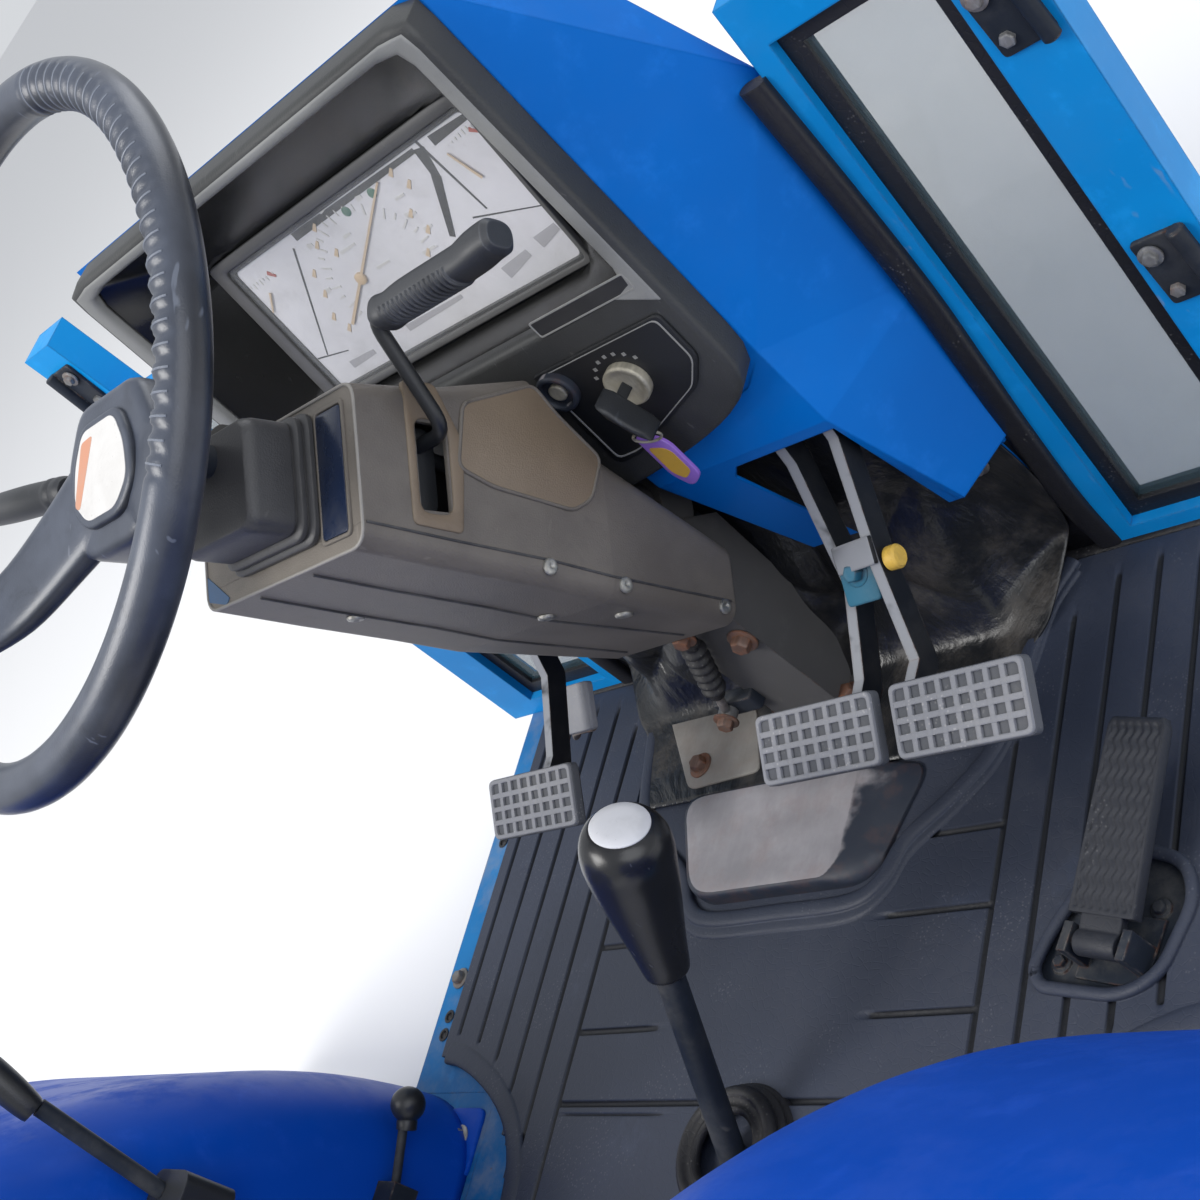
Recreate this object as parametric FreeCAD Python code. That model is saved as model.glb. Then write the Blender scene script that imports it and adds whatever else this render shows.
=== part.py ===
"""Operator's platform of a compact farm tractor: the deck with its mat, pedals and levers,
the steering column and dash cowl, the rear fenders and the front corner windows of the cab.

Millimetres. X is the operator's right, Y is forward, Z is up. The origin is the centre of the
four chassis bolts, on the underside of the two cross members.
"""
import FreeCAD, Part
import math
import os

V = FreeCAD.Vector
PARTS = {}

# Deck and mat
SHEET = 3.0
MEMBER_H = 51.0
MAT_T = 6.0
DECK_TOP = MEMBER_H + SHEET
MAT_TOP = DECK_TOP + MAT_T
DECK_HALF_W = 383.0
DECK_FRONT = 289.0
DECK_WAIST = -78.0
DECK_REAR = -300.0
DECK_REAR_HALF_W = 272.0
DECK_FLANGE = 38.0
MEMBER_Y = 200.0
MEMBER_W = 56.0
BOLT_X = 200.0
BOLT_R = 6.5
MAT_MARGIN = 30.0
MAT_CUT_HALF_W = 192.0
MAT_CUT_REAR = 236.0

# Transmission hump
HUMP_FRONT_Y = 146.0
HUMP_REAR_Y = 57.0
HUMP_FRONT_HALF_W = 118.0
HUMP_REAR_HALF_W = 84.0
HUMP_H = 14.0
HUMP_R = 22.0
HUMP_LIP = 7.0
GAP = 2.0

# Steering column, given by the wheel's centre and its tilt
WHEEL_Y = 47.0
WHEEL_Z = 662.0
COLUMN_TILT = 27.4
RIM_R = 183.0
RIM_TUBE_R = 13.5
HUB_DEPTH = 62.0
SHAFT_R = 9.5
SHAFT_END = 575.0
SHAFT_TIP_R = 8.5
SHAFT_TIP_L = 30.0
TUBE_R = 22.0
TUBE_WALL = 3.0
TUBE_TOP = 118.0
TUBE_END = 470.0
BUSH_CLEAR = 0.05
BUSH_L = 24.0

# Column cover: distance down the column, half width, lower edge and upper edge across it
COVER_WALL = 3.0
COVER_SECTIONS = (
    # s, half_width, lower, upper
    (154.5, 87.0, -68.0, 28.0),
    (214.0, 87.0, -74.0, 34.0),
    (283.0, 87.0, -80.0, 49.0),
    (335.0, 85.0, -86.0, 6.0),
    (460.0, 66.0, -90.0, -35.0),
)
COVER_SLOT_HALF_W = 33.0
COVER_SLOT_S = 290.0
COVER_SPLIT = 14.0
COLLAR_STEPS = (
    # s_top, half_width, lower, upper
    (141.0, 46.0, -56.0, 22.0),
    (128.0, 42.0, -51.0, 18.0),
    (112.0, 37.0, -45.0, 14.0),
)
COLLAR_R = 9.0
COLLAR_HOLE_R = 26.0
PLATE_X0 = 50.0
PLATE_X1 = 80.0
PLATE_T = 1.6

# Folded mast that carries the column
MAST = ((202.0, 60.0), (256.0, 60.0), (272.0, 226.0), (236.0, 268.0), (206.0, 252.0))
MAST_MID_Y = 230.0
MAST_HALF_W = 30.0
MAST_FOOT_HALF_W = 39.0
MAST_WALL = 3.0

# Hand throttle
SLOT_S = 204.0
SLOT_LOW = -44.0
SLOT_HIGH = 8.0
SLOT_HALF_W = 10.5
THROTTLE_PIVOT_S = 281.0
THROTTLE_PIVOT_T = -20.0
THROTTLE_ROD_R = 4.5
THROTTLE_OUT_X = 102.0
THROTTLE_TOP_S = 160.0
THROTTLE_TOP_T = 58.0
THROTTLE_GRIP_L = 116.0
THROTTLE_GRIP_R = 12.5

# Shuttle lever on the left of the column
STALK_S = 92.0
STALK_T = 2.0
STALK_R = 5.0
STALK_X0 = -30.0
STALK_X1 = -238.0
STALK_RISE = 20.0
STALK_FORWARD = 26.0
STALK_GRIP_L = 120.0
STALK_GRIP_R = 11.0
STALK_BOSS_R = 10.0

# Instrument pod and cowl
POD_HALF_W = 200.0
POD_TOP_Z = 636.0
POD_LOW_Z = 318.0
POD_CORNER_Z = 358.0
POD_FACE_Y = 240.0
POD_FACE_Z = 359.0
POD_LEAN = 0.131
POD_DEPTH = 16.0
POD_SEAT = 6.0
POD_CLEAR = 0.3
POD_WALL = 4.0
WINDOW_HALF_W = 183.0
WINDOW_TOP_Z = 624.0
WINDOW_LOW_Z = 447.0
GAUGE_HALF_W = 141.0
GAUGE_TOP_Z = 572.0
GAUGE_LOW_Z = 446.0
GAUGE_TOP_Y = 311.0
GAUGE_LOW_Y = 282.0
GAUGE_T = 3.0
LENS_GAP = 6.0
LENS_T = 2.0
COWL_WALL = 3.0
COWL_LOW_Z = 182.0
COWL_LOW_FRONT_HALF_W = 252.0
COWL_WAIST_Z = 465.0
COWL_WAIST_HALF_W = 271.0
COWL_TOP_Z = 606.0
COWL_TOP_FRONT_HALF_W = 206.0
COWL_LOW_HALF_W = 216.0
COWL_LOW_Y = 252.0
COWL_KNEE_Z = 300.0
COWL_KNEE_Y = 234.0
COWL_KNEE_HALF_W = 206.0
COWL_KNEE_FRONT_HALF_W = 262.0
NOTCH_Z = 291.0
NOTCH_X0 = 112.0
NOTCH_X1 = 204.0
NOTCH_LOW_X0 = 128.0
COLUMN_GAP_HALF_W = 56.0
COLUMN_GAP_LOW_HALF_W = 96.0
COLUMN_GAP_Z = 316.0
TUBE_GAP_HALF_W = 30.0
TUBE_GAP_Z = 390.0
CUT_REAR_Y = 100.0
CUT_FRONT_Y = 275.0
POD_CUT_Y = 300.0
SWITCH_T = 2.5
IGNITION_X = 133.0
IGNITION_Z = 394.0
LIGHTER_X = 84.0
LIGHTER_Z = 409.0

# Cab front frame, which leans forward as it rises
FRAME_FOOT_Y = 285.0
FRAME_LEAN = 0.105
FRAME_DEPTH = 30.0
FRAME_WALL = 2.5
UPRIGHT_X = 244.0
UPRIGHT_LEAN = 0.085
UPRIGHT_W = 16.0
PILLAR_X = 366.0
PILLAR_LEAN = 0.07
PILLAR_W = 44.0
SILL_H = 18.0
BAR_LOW_Z = 478.0
BAR_H = 32.0
PILLAR_TOP_Z = 590.0
GASKET_W = 12.0
GASKET_T = 12.0
GLASS_T = 5.0

# Bulkhead
BULK_LOW_HALF_W = 234.0
BULK_STEP_Z = 180.0
BULK_SEAT = 0.3
BULK_TOP_Z = 430.0
BULK_Y = 292.0
TOE_FOOT_Y = 238.0
TOE_BEND_Y = 272.0
TOE_BEND_Z = 180.0
TOE_TOP_Z = 280.0
TOE_T = 6.0
TOE_GAP_HALF_W = 40.0

# Pedals
PIVOT_Y = 264.0
PIVOT_Z = 322.0
PIVOT_R = 8.0
PIVOT_CLEAR = 0.06
PAD_W = 97.0
PAD_H = 46.0
PAD_T = 9.0
PAD_TOP_Y = 114.0
PAD_TOP_Z = 193.0
PAD_TILT = 30.0
ARM_W = 18.0
ARM_T = 8.0
RIGHT_ARM_PATH = ((100.0, 167.0), (146.0, 165.0), (190.0, 218.0), (248.0, 274.0), (264.0, 322.0))
LEFT_ARM_PATH = ((100.0, 167.0), (137.0, 168.0), (197.0, 196.0), (247.0, 268.0), (264.0, 322.0))
BRAKE_LEFT_X = 129.0
BRAKE_RIGHT_X = 239.0
BRAKE_LEFT_ARM_X = 152.0
BRAKE_RIGHT_ARM_X = 192.0
CLUTCH_X = -154.0
CLUTCH_ARM_X = -154.0
EAR_T = 5.0
EARS_X = (-184.0, -124.0, 120.0, 172.0)
HUB_R = 13.0
HUB_HALF_L = 7.0

PEDALS = (
    # name, pad_x, arm_x, arm_path
    ("brake_left", BRAKE_LEFT_X, BRAKE_LEFT_ARM_X, LEFT_ARM_PATH),
    ("brake_right", BRAKE_RIGHT_X, BRAKE_RIGHT_ARM_X, RIGHT_ARM_PATH),
    ("clutch", CLUTCH_X, CLUTCH_ARM_X, LEFT_ARM_PATH),
)
LATCH_Y = 192.0
LATCH_Z = 210.0
LATCH_TILT = 40.0
SHAFT_LEFT_X = -190.0
SHAFT_RIGHT_X = 202.0

# Accelerator
ACCEL_X = 276.0
ACCEL_Y = -8.0
ACCEL_Z = 72.0
ACCEL_TURN = -13.0
ACCEL_RISE = 11.0
ACCEL_L = 132.0
ACCEL_W = 46.0
ACCEL_T = 8.0
ACCEL_PIN_R = 4.0

# Gear lever
GEAR_Y = -145.0
GEAR_Z = 30.0
GEAR_TOP = (90.0, -6.0, 285.0)
GEAR_KNOB_L = 112.0
GEAR_KNOB_R = 27.0
GEAR_SHAFT_R = 9.5
GEAR_BALL_R = 15.0
SOCKET_R = 24.0
SOCKET_H = 14.0
GEAR_PIN_R = 3.0
GEAR_PIN_CLEAR = 0.1
GEAR_EAR_X0 = 16.5
GEAR_EAR_H = 20.0
BOOT_X = 12.0
BOOT_Y = -126.0
BOOT_R = 50.0
BOOT_H = 22.0
BOOT_TOP_R = 38.0
BOOT_HOLE_R = 35.5

# Rear fenders
FENDER_Y = -651.0
FENDER_Z = -10.0
FENDER_R = 578.0
FENDER_T = 1.6
FENDER_CREASE_X = 383.0
FENDER_WALL_X = 278.0
FENDER_OUTER_X = 690.0
FENDER_LIP = 24.0
FENDER_SHOULDER = 70.0
FENDER_REAR_Z = 210.0

# Levers on the left fender, placed below its crest line and by angle from straight ahead
RANGE_BELOW = 93.5
RANGE_ANGLE = 15.4
RANGE_BALL_R = 13.0
CONSOLE_BELOW = 102.6
CONSOLE_ANGLE = 37.73


def export(name, shape):
    """Write one node, after a check that it is one closed solid or several that stay apart."""
    os.makedirs("parts", exist_ok=True)
    shape = shape.removeSplitter() if shape.ShapeType != "Compound" else shape
    solids = shape.Solids
    if not solids or not shape.isValid():
        raise RuntimeError(name + " isn't a valid solid")
    shape = solids[0] if len(solids) == 1 else Part.makeCompound(solids)
    PARTS[name] = shape
    shape.exportStep("parts/" + name + ".step")


def block(x0, x1, y0, y1, z0, z1):
    return Part.makeBox(x1 - x0, y1 - y0, z1 - z0, V(x0, y0, z0))


def rod(start, end, radius):
    start, end = V(*start), V(*end)
    return Part.makeCylinder(radius, (end - start).Length, start, end - start)


def polygon(points):
    points = [V(*p) for p in points]
    return Part.makePolygon(points + [points[0]])


def prism(points, direction):
    return Part.Face(polygon(points)).extrude(V(*direction))


def loft(*wires):
    return Part.makeLoft(list(wires), True, True)


def mirrored(shape):
    return shape.mirror(V(0, 0, 0), V(1, 0, 0))


def column_placement():
    """Local X is across, local Y is up the slope of the wheel's plane, local Z is up the column."""
    return FreeCAD.Placement(V(0, WHEEL_Y, WHEEL_Z), FreeCAD.Rotation(V(1, 0, 0), COLUMN_TILT))


def on_column(shape):
    shape = shape.copy()
    shape.Placement = column_placement().multiply(shape.Placement)
    return shape


def rounded_rectangle(half_w, low, high, z, radius):
    """A rounded rectangle wire in the column's own frame."""
    x0, x1 = -half_w, half_w
    k = radius * (1 - math.sqrt(0.5))
    edges = []
    corners = (
        (V(x1, high - radius, z), V(x1 - k, high - k, z), V(x1 - radius, high, z)),
        (V(x0 + radius, high, z), V(x0 + k, high - k, z), V(x0, high - radius, z)),
        (V(x0, low + radius, z), V(x0 + k, low + k, z), V(x0 + radius, low, z)),
        (V(x1 - radius, low, z), V(x1 - k, low + k, z), V(x1, low + radius, z)),
    )
    for i, corner in enumerate(corners):
        edges.append(Part.Arc(*corner).toShape())
        edges.append(Part.makeLine(corner[2], corners[(i + 1) % 4][0]))
    return Part.Wire(edges)


def face_y(z):
    """Y of the pod's face at a height."""
    return POD_FACE_Y + POD_LEAN * (z - POD_FACE_Z)


def frame_y(z):
    """Y of the cab frame's rear side at a height."""
    return FRAME_FOOT_Y + FRAME_LEAN * (z - MAT_TOP)


def deck_outline(inset, z):
    h, r = DECK_HALF_W - inset, DECK_REAR_HALF_W - inset
    return [(-r, DECK_REAR + inset, z), (r, DECK_REAR + inset, z), (r, DECK_WAIST + inset, z),
            (h, DECK_WAIST + inset, z), (h, DECK_FRONT - inset, z), (-h, DECK_FRONT - inset, z),
            (-h, DECK_WAIST + inset, z), (-r, DECK_WAIST + inset, z)]


def hump_points(grow, z):
    f, r = HUMP_FRONT_HALF_W + grow, HUMP_REAR_HALF_W + grow
    return [(-f, HUMP_FRONT_Y + grow, z), (f, HUMP_FRONT_Y + grow, z), (r, HUMP_REAR_Y - grow, z),
            (-r, HUMP_REAR_Y - grow, z)]


def hump_block(grow, z0, z1):
    solid = prism(hump_points(grow, z0), (0, 0, z1 - z0))
    upright = [e for e in solid.Edges if abs(e.BoundBox.ZLength - (z1 - z0)) < 1e-3]
    return solid.makeFillet(HUMP_R, upright)


def deck():
    outer = prism(deck_outline(0, DECK_TOP - DECK_FLANGE), (0, 0, DECK_FLANGE))
    inner = prism(deck_outline(SHEET, DECK_TOP - DECK_FLANGE), (0, 0, DECK_FLANGE - SHEET))
    pan = outer.cut(inner)
    for side in (-1, 1):
        member_gap = block(-DECK_HALF_W - 1, DECK_HALF_W + 1, side * MEMBER_Y - MEMBER_W / 2 - 1,
                           side * MEMBER_Y + MEMBER_W / 2 + 1, 0, MEMBER_H)
        pan = pan.cut(member_gap)
    pan = pan.cut(hump_block(-12, MEMBER_H - 1, DECK_TOP + 1))
    pan = pan.cut(Part.makeCylinder(BOOT_HOLE_R, 2 * SHEET + 2, V(BOOT_X, BOOT_Y, MEMBER_H - 1)))
    export("deck_pan", pan)

    for name, side in (("rear", -1), ("front", 1)):
        y = side * MEMBER_Y
        half = DECK_REAR_HALF_W if side < 0 else DECK_HALF_W - 8
        channel = block(-half, half, y - MEMBER_W / 2, y + MEMBER_W / 2, 0, MEMBER_H)
        channel = channel.cut(block(-half - 1, half + 1, y - MEMBER_W / 2 + SHEET,
                                    y + MEMBER_W / 2 - SHEET, SHEET, MEMBER_H + 1))
        for x in (-BOLT_X, BOLT_X):
            channel = channel.cut(Part.makeCylinder(BOLT_R, SHEET + 2, V(x, y, -1)))
        export("cross_member_" + name, channel)


def mat():
    m = MAT_MARGIN
    front = block(-DECK_HALF_W + m, DECK_HALF_W - m, DECK_WAIST + 4, DECK_FRONT - 6, DECK_TOP, MAT_TOP)
    rear = block(-DECK_REAR_HALF_W + 4, DECK_REAR_HALF_W - 4, DECK_REAR + 2, DECK_WAIST + 4, DECK_TOP, MAT_TOP)
    sheet = front.fuse(rear)
    sheet = sheet.fuse(hump_block(HUMP_LIP + GAP, DECK_TOP, MAT_TOP + 4))
    sheet = sheet.cut(hump_block(GAP, DECK_TOP - 1, MAT_TOP + 5))
    sheet = sheet.cut(block(-MAT_CUT_HALF_W, MAT_CUT_HALF_W, MAT_CUT_REAR, DECK_FRONT + 1, DECK_TOP - 1, MAT_TOP + 1))
    sheet = sheet.cut(Part.makeCylinder(BOOT_R + GAP, MAT_T + 2, V(BOOT_X, BOOT_Y, DECK_TOP - 1)))
    sheet = sheet.cut(accel_place(block(-30, 30, -22, 44, -20, 2)))
    export("floor_mat", sheet)


def hump():
    cover = hump_block(0, DECK_TOP, MAT_TOP + HUMP_H)
    cover = cover.cut(hump_block(-SHEET - 8, DECK_TOP - 1, MAT_TOP + HUMP_H - SHEET))
    export("hump_cover", cover)


def column():
    axis = V(0, 0, -1)
    shaft = Part.makeCylinder(SHAFT_R, SHAFT_END - SHAFT_TIP_L - HUB_DEPTH - 4, V(0, 0, -HUB_DEPTH - 4), axis)
    tip = Part.makeCylinder(SHAFT_TIP_R, SHAFT_TIP_L, V(0, 0, SHAFT_TIP_L - SHAFT_END), axis)
    shaft = shaft.fuse(tip)
    export("steering_shaft", on_column(shaft))

    tube = Part.makeCylinder(TUBE_R, TUBE_END - TUBE_TOP, V(0, 0, -TUBE_TOP), axis)
    bore = Part.makeCylinder(TUBE_R - TUBE_WALL, TUBE_END - TUBE_TOP - 2 * BUSH_L, V(0, 0, -TUBE_TOP - BUSH_L), axis)
    guide = Part.makeCylinder(SHAFT_R + BUSH_CLEAR, TUBE_END - TUBE_TOP + 2, V(0, 0, -TUBE_TOP + 1), axis)
    export("column_tube", on_column(tube.cut(bore).cut(guide)))

    base = column_base(tube)
    export("column_base", base)
    column_cover()


def column_base(tube):
    """A folded box that stands on the deck and carries the column tube in a ring."""
    foot = block(-MAST_FOOT_HALF_W, MAST_FOOT_HALF_W, MAST[0][0] - 4, MAST[1][0] + 2, MAT_TOP, MAT_TOP + 6)
    half = MAST_HALF_W
    outer = prism([(-half, y, z) for y, z in MAST], (2 * half, 0, 0))
    w = MAST_WALL
    inner = prism([(-half + w, y + (w if y < MAST_MID_Y else -w), z + (-9 if z < 100 else -w)) for y, z in MAST],
                  (2 * half - 2 * w, 0, 0))
    ring = on_column(Part.makeCylinder(TUBE_R + 6, 30, V(0, 0, -TUBE_END + 30), V(0, 0, -1)))
    room = on_column(Part.makeCylinder(TUBE_R, 200, V(0, 0, -TUBE_END + 100), V(0, 0, -1)))
    return foot.fuse(outer).cut(inner).fuse(ring).cut(room)


def cover_wire(section, inset, extra=0.0):
    s, half_w, low, high = section
    return rounded_rectangle(half_w - inset, low + inset, high - inset, -s - extra, 12 - inset)


def column_cover():
    outer = loft(*[cover_wire(c, 0) for c in COVER_SECTIONS])
    first, last = COVER_SECTIONS[0], COVER_SECTIONS[-1]
    inner_sections = [(first[0] + COVER_WALL,) + first[1:]] + list(COVER_SECTIONS[1:-1]) + [(last[0] + 0.5,) + last[1:]]
    inner = loft(*[cover_wire(c, COVER_WALL) for c in inner_sections])
    shell = outer.cut(inner)
    shell = shell.cut(Part.makeCylinder(COLLAR_HOLE_R, 2 * COVER_WALL, V(0, 0, -first[0] - COVER_WALL - 1)))
    slot = block(first[1] - 12, first[1] + 12, SLOT_LOW, SLOT_HIGH, -SLOT_S - SLOT_HALF_W, -SLOT_S + SLOT_HALF_W)
    shell = shell.cut(slot)
    w = COVER_SLOT_HALF_W
    shell = shell.cut(block(-w, w, -60, 80, -last[0] - 20, -COVER_SLOT_S))
    low_edge = [(-200, c[2] + COVER_SPLIT, -c[0]) for c in COVER_SECTIONS]
    below = prism([(-200, -200, -100), (-200, low_edge[0][1], -100)] + low_edge
                  + [(-200, low_edge[-1][1], -520), (-200, -200, -520)], (400, 0, 0))
    export("column_cover_upper", on_column(shell.cut(below)))
    export("column_cover_lower", on_column(shell.common(below)))

    collar = None
    base_z = -first[0]
    for s, half_w, low, high in COLLAR_STEPS:
        step = loft(rounded_rectangle(half_w, low, high, base_z, COLLAR_R),
                    rounded_rectangle(half_w - 2, low + 2, high - 2, -s, COLLAR_R))
        collar = step if collar is None else collar.fuse(step)
        base_z = -s
    bore = Part.makeCylinder(TUBE_R + 0.3, 60, V(0, 0, -160))
    export("column_collar", on_column(collar.cut(bore)))
    plate = block(PLATE_X0, PLATE_X1, first[2] + 8, first[3] - 6, -first[0], -first[0] + PLATE_T)
    export("column_plate", on_column(plate))


def wheel():
    rim = Part.makeTorus(RIM_R, RIM_TUBE_R)
    export("wheel_rim", on_column(rim))
    spokes = wheel_spokes(rim)
    export("wheel_spokes", on_column(spokes))
    cap = hub_outline(0.62, -HUB_DEPTH + 12).extrude(V(0, 0, 5)).cut(spokes)
    export("wheel_hub_pad", on_column(cap))


def hub_outline(scale, z):
    """The shield shape of the hub, in the wheel's own plane."""
    points = [(-34, 34), (34, 34), (52, 2), (56, -34), (30, -58), (-30, -58), (-56, -34), (-52, 2)]
    return Part.Face(polygon([(x * scale, (y + 12) * scale - 12, z) for x, y in points]))


def spoke(angle):
    """A spoke from the hub up to the middle of the rim's tube."""
    a = math.radians(angle)
    out, side = V(math.cos(a), math.sin(a), 0), V(-math.sin(a), math.cos(a), 0)
    wires = []
    for r, z, half_w, half_h in ((24, -HUB_DEPTH, 30, 11), (120, -HUB_DEPTH + 22, 23, 8), (RIM_R - 4, -2, 19, 6)):
        centre = out * r + V(0, 0, z)
        corners = [centre + side * half_w * i + V(0, 0, half_h * j) for i, j in ((-1, -1), (1, -1), (1, 1), (-1, 1))]
        wires.append(Part.makePolygon(corners + [corners[0]]))
    return loft(*wires)


def wheel_spokes(rim):
    hub = hub_outline(1.0, -HUB_DEPTH - 13).extrude(V(0, 0, 25))
    body = hub.fuse([spoke(212), spoke(328)])
    boss = Part.makeCylinder(17, 20, V(0, 0, -HUB_DEPTH - 18))
    body = body.fuse(boss)
    return body.cut(Part.makeCylinder(SHAFT_R, 40, V(0, 0, -HUB_DEPTH - 4), V(0, 0, -1))).cut(rim)


def throttle():
    x_in = COVER_SECTIONS[0][1] - 22
    pivot = (THROTTLE_PIVOT_T, -THROTTLE_PIVOT_S)
    boss = rod((x_in - 10, pivot[0], pivot[1]), (x_in + 8, pivot[0], pivot[1]), 11)
    path = [(x_in, pivot[0], pivot[1]), (x_in, -2, -SLOT_S), (THROTTLE_OUT_X, -2, -SLOT_S),
            (THROTTLE_OUT_X, THROTTLE_TOP_T, -THROTTLE_TOP_S), (THROTTLE_OUT_X + 24, THROTTLE_TOP_T, -THROTTLE_TOP_S)]
    lever = boss
    for a, b in zip(path, path[1:]):
        lever = lever.fuse(rod(a, b, THROTTLE_ROD_R))
    for p in path[1:-1]:
        lever = lever.fuse(Part.makeSphere(THROTTLE_ROD_R, V(*p)))
    pin_hole = rod((x_in - 12, pivot[0], pivot[1]), (x_in + 10, pivot[0], pivot[1]), 5 + PIVOT_CLEAR)
    grip_start = (THROTTLE_OUT_X + 8, THROTTLE_TOP_T, -THROTTLE_TOP_S)
    grip_end = (THROTTLE_OUT_X + THROTTLE_GRIP_L, THROTTLE_TOP_T, -THROTTLE_TOP_S)
    grip = rod(grip_start, grip_end, THROTTLE_GRIP_R)
    export("throttle_lever", on_column(lever.cut(pin_hole).cut(grip)))
    export("throttle_grip", on_column(grip))

    bracket = rod((TUBE_R - 4, pivot[0], pivot[1]), (x_in + 14, pivot[0], pivot[1]), 5)
    bracket = bracket.fuse(block(TUBE_R - 4, TUBE_R + 6, pivot[0] - 12, 10, pivot[1] - 12, pivot[1] + 12))
    bracket = bracket.cut(Part.makeCylinder(TUBE_R, 400, V(0, 0, -SHAFT_END)))
    export("throttle_bracket", on_column(bracket))


def stalk():
    start = (STALK_X0, STALK_T, -STALK_S)
    end = (STALK_X1, STALK_T + STALK_FORWARD, -STALK_S + STALK_RISE)
    k = 1 - STALK_GRIP_L / (STALK_X0 - STALK_X1)
    middle = tuple(a + (b - a) * k for a, b in zip(start, end))
    grip = rod(middle, end, STALK_GRIP_R)
    lever = rod(start, end, STALK_R).cut(grip)
    hub = Part.makeCylinder(STALK_BOSS_R, 10, V(STALK_X0, STALK_T, -STALK_S - 5))
    lever = lever.fuse(hub).cut(Part.makeCylinder(4 + PIVOT_CLEAR, 40, V(STALK_X0, STALK_T, -STALK_S - 20)))
    export("shuttle_lever", on_column(lever))
    export("shuttle_grip", on_column(grip))
    post = Part.makeCylinder(4, COLLAR_STEPS[-1][0] - STALK_S + 6, V(STALK_X0, STALK_T, -COLLAR_STEPS[-1][0]))
    export("shuttle_post", on_column(post))


def rows_solid(rear, front):
    """A closed solid between two stacks of level rows, each row given as half width, Y and Z."""
    def ends(row):
        half, y, z = row
        return V(-half, y, z), V(half, y, z)

    def face(*points):
        return Part.Face(Part.makePolygon(list(points) + [points[0]]))

    faces = []
    for rows in (rear, front):
        for upper, lower in zip(rows, rows[1:]):
            (a, b), (c, d) = ends(upper), ends(lower)
            faces.append(face(a, b, d, c))
    for side in (0, 1):
        for i in range(len(rear) - 1):
            a, b = ends(rear[i])[side], ends(rear[i + 1])[side]
            c, d = ends(front[i])[side], ends(front[i + 1])[side]
            faces.append(face(a, b, d))
            faces.append(face(a, d, c))
    for i in (0, -1):
        (a, b), (c, d) = ends(rear[i]), ends(front[i])
        faces.append(face(a, b, d, c))
    shell = Part.makeShell(faces)
    shell.sewShape()
    solid = Part.Solid(shell)
    if solid.Volume < 0:
        solid.reverse()
    return solid


def cowl_rows(inset, drop, back, front):
    """Rows of the cowl's rear and front sides, moved in, down and along Y."""
    rear = [(POD_HALF_W - inset, face_y(POD_TOP_Z) + POD_SEAT + back, POD_TOP_Z - inset),
            (POD_HALF_W - inset, face_y(POD_FACE_Z) + POD_SEAT + back, POD_FACE_Z),
            (COWL_KNEE_HALF_W - inset, COWL_KNEE_Y + back, COWL_KNEE_Z),
            (COWL_LOW_HALF_W - inset, COWL_LOW_Y + back, COWL_LOW_Z - drop)]
    front = [(COWL_TOP_FRONT_HALF_W - inset, frame_y(COWL_TOP_Z) + front, COWL_TOP_Z - inset),
             (COWL_WAIST_HALF_W - inset, frame_y(COWL_WAIST_Z) + front, COWL_WAIST_Z),
             (COWL_KNEE_FRONT_HALF_W - inset, frame_y(COWL_KNEE_Z) + front, COWL_KNEE_Z),
             (COWL_LOW_FRONT_HALF_W - inset, frame_y(COWL_LOW_Z) + front, COWL_LOW_Z - drop)]
    return rear, front


def cowl():
    outer = rows_solid(*cowl_rows(0, 0, 0, 12))
    inner = rows_solid(*cowl_rows(COWL_WALL, 20, COWL_WALL, 14))
    shell = outer.cut(inner)
    for side in (-1, 1):
        notch = [(side * NOTCH_LOW_X0, 60), (side * NOTCH_LOW_X0, COWL_LOW_Z), (side * NOTCH_X0, NOTCH_Z - 10),
                 (side * (NOTCH_X0 + 10), NOTCH_Z), (side * NOTCH_X1, NOTCH_Z), (side * NOTCH_X1, 60)]
        shell = shell.cut(prism([(x, CUT_REAR_Y, z) for x, z in notch], (0, CUT_FRONT_Y - CUT_REAR_Y, 0)))
    gap = [(-COLUMN_GAP_LOW_HALF_W, 150), (-COLUMN_GAP_HALF_W, COLUMN_GAP_Z), (COLUMN_GAP_HALF_W, COLUMN_GAP_Z),
           (COLUMN_GAP_LOW_HALF_W, 150)]
    shell = shell.cut(prism([(x, CUT_REAR_Y, z) for x, z in gap], (0, CUT_FRONT_Y - CUT_REAR_Y, 0)))
    shell = shell.cut(tube_gap())
    pod_room = prism([(x, CUT_REAR_Y, z) for x, z in pod_outline(POD_CLEAR)], (0, face_y(POD_LOW_Z) + POD_SEAT - CUT_REAR_Y, 0))
    pod_room = pod_room.fuse(prism([(x, CUT_REAR_Y, z) for x, z in pod_outline(-POD_WALL - 4)], (0, POD_CUT_Y - CUT_REAR_Y, 0)))
    shell = shell.cut(pod_room).cut(pod_body(POD_CLEAR))
    export("cowl", shell)


def tube_gap():
    """Room for the column tube where it passes the pod and the cowl."""
    return block(-TUBE_GAP_HALF_W, TUBE_GAP_HALF_W, CUT_REAR_Y, CUT_FRONT_Y, COWL_LOW_Z, TUBE_GAP_Z)


def pod_outline(grow):
    w = POD_HALF_W + grow
    return [(-w, POD_TOP_Z + grow), (w, POD_TOP_Z + grow), (w, POD_CORNER_Z), (w - 24, POD_CORNER_Z - 18),
            (70, POD_LOW_Z - grow), (-70, POD_LOW_Z - grow), (-w + 24, POD_CORNER_Z - 18), (-w, POD_CORNER_Z)]


def pod_body(grow):
    """The pod's deep rim as a solid slab, whose rear face leans like the dash."""
    face = polygon([(x, face_y(z) - POD_DEPTH, z) for x, z in pod_outline(grow)])
    return Part.Face(face).extrude(V(0, POD_DEPTH + POD_SEAT - POD_CLEAR, 0))


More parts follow.
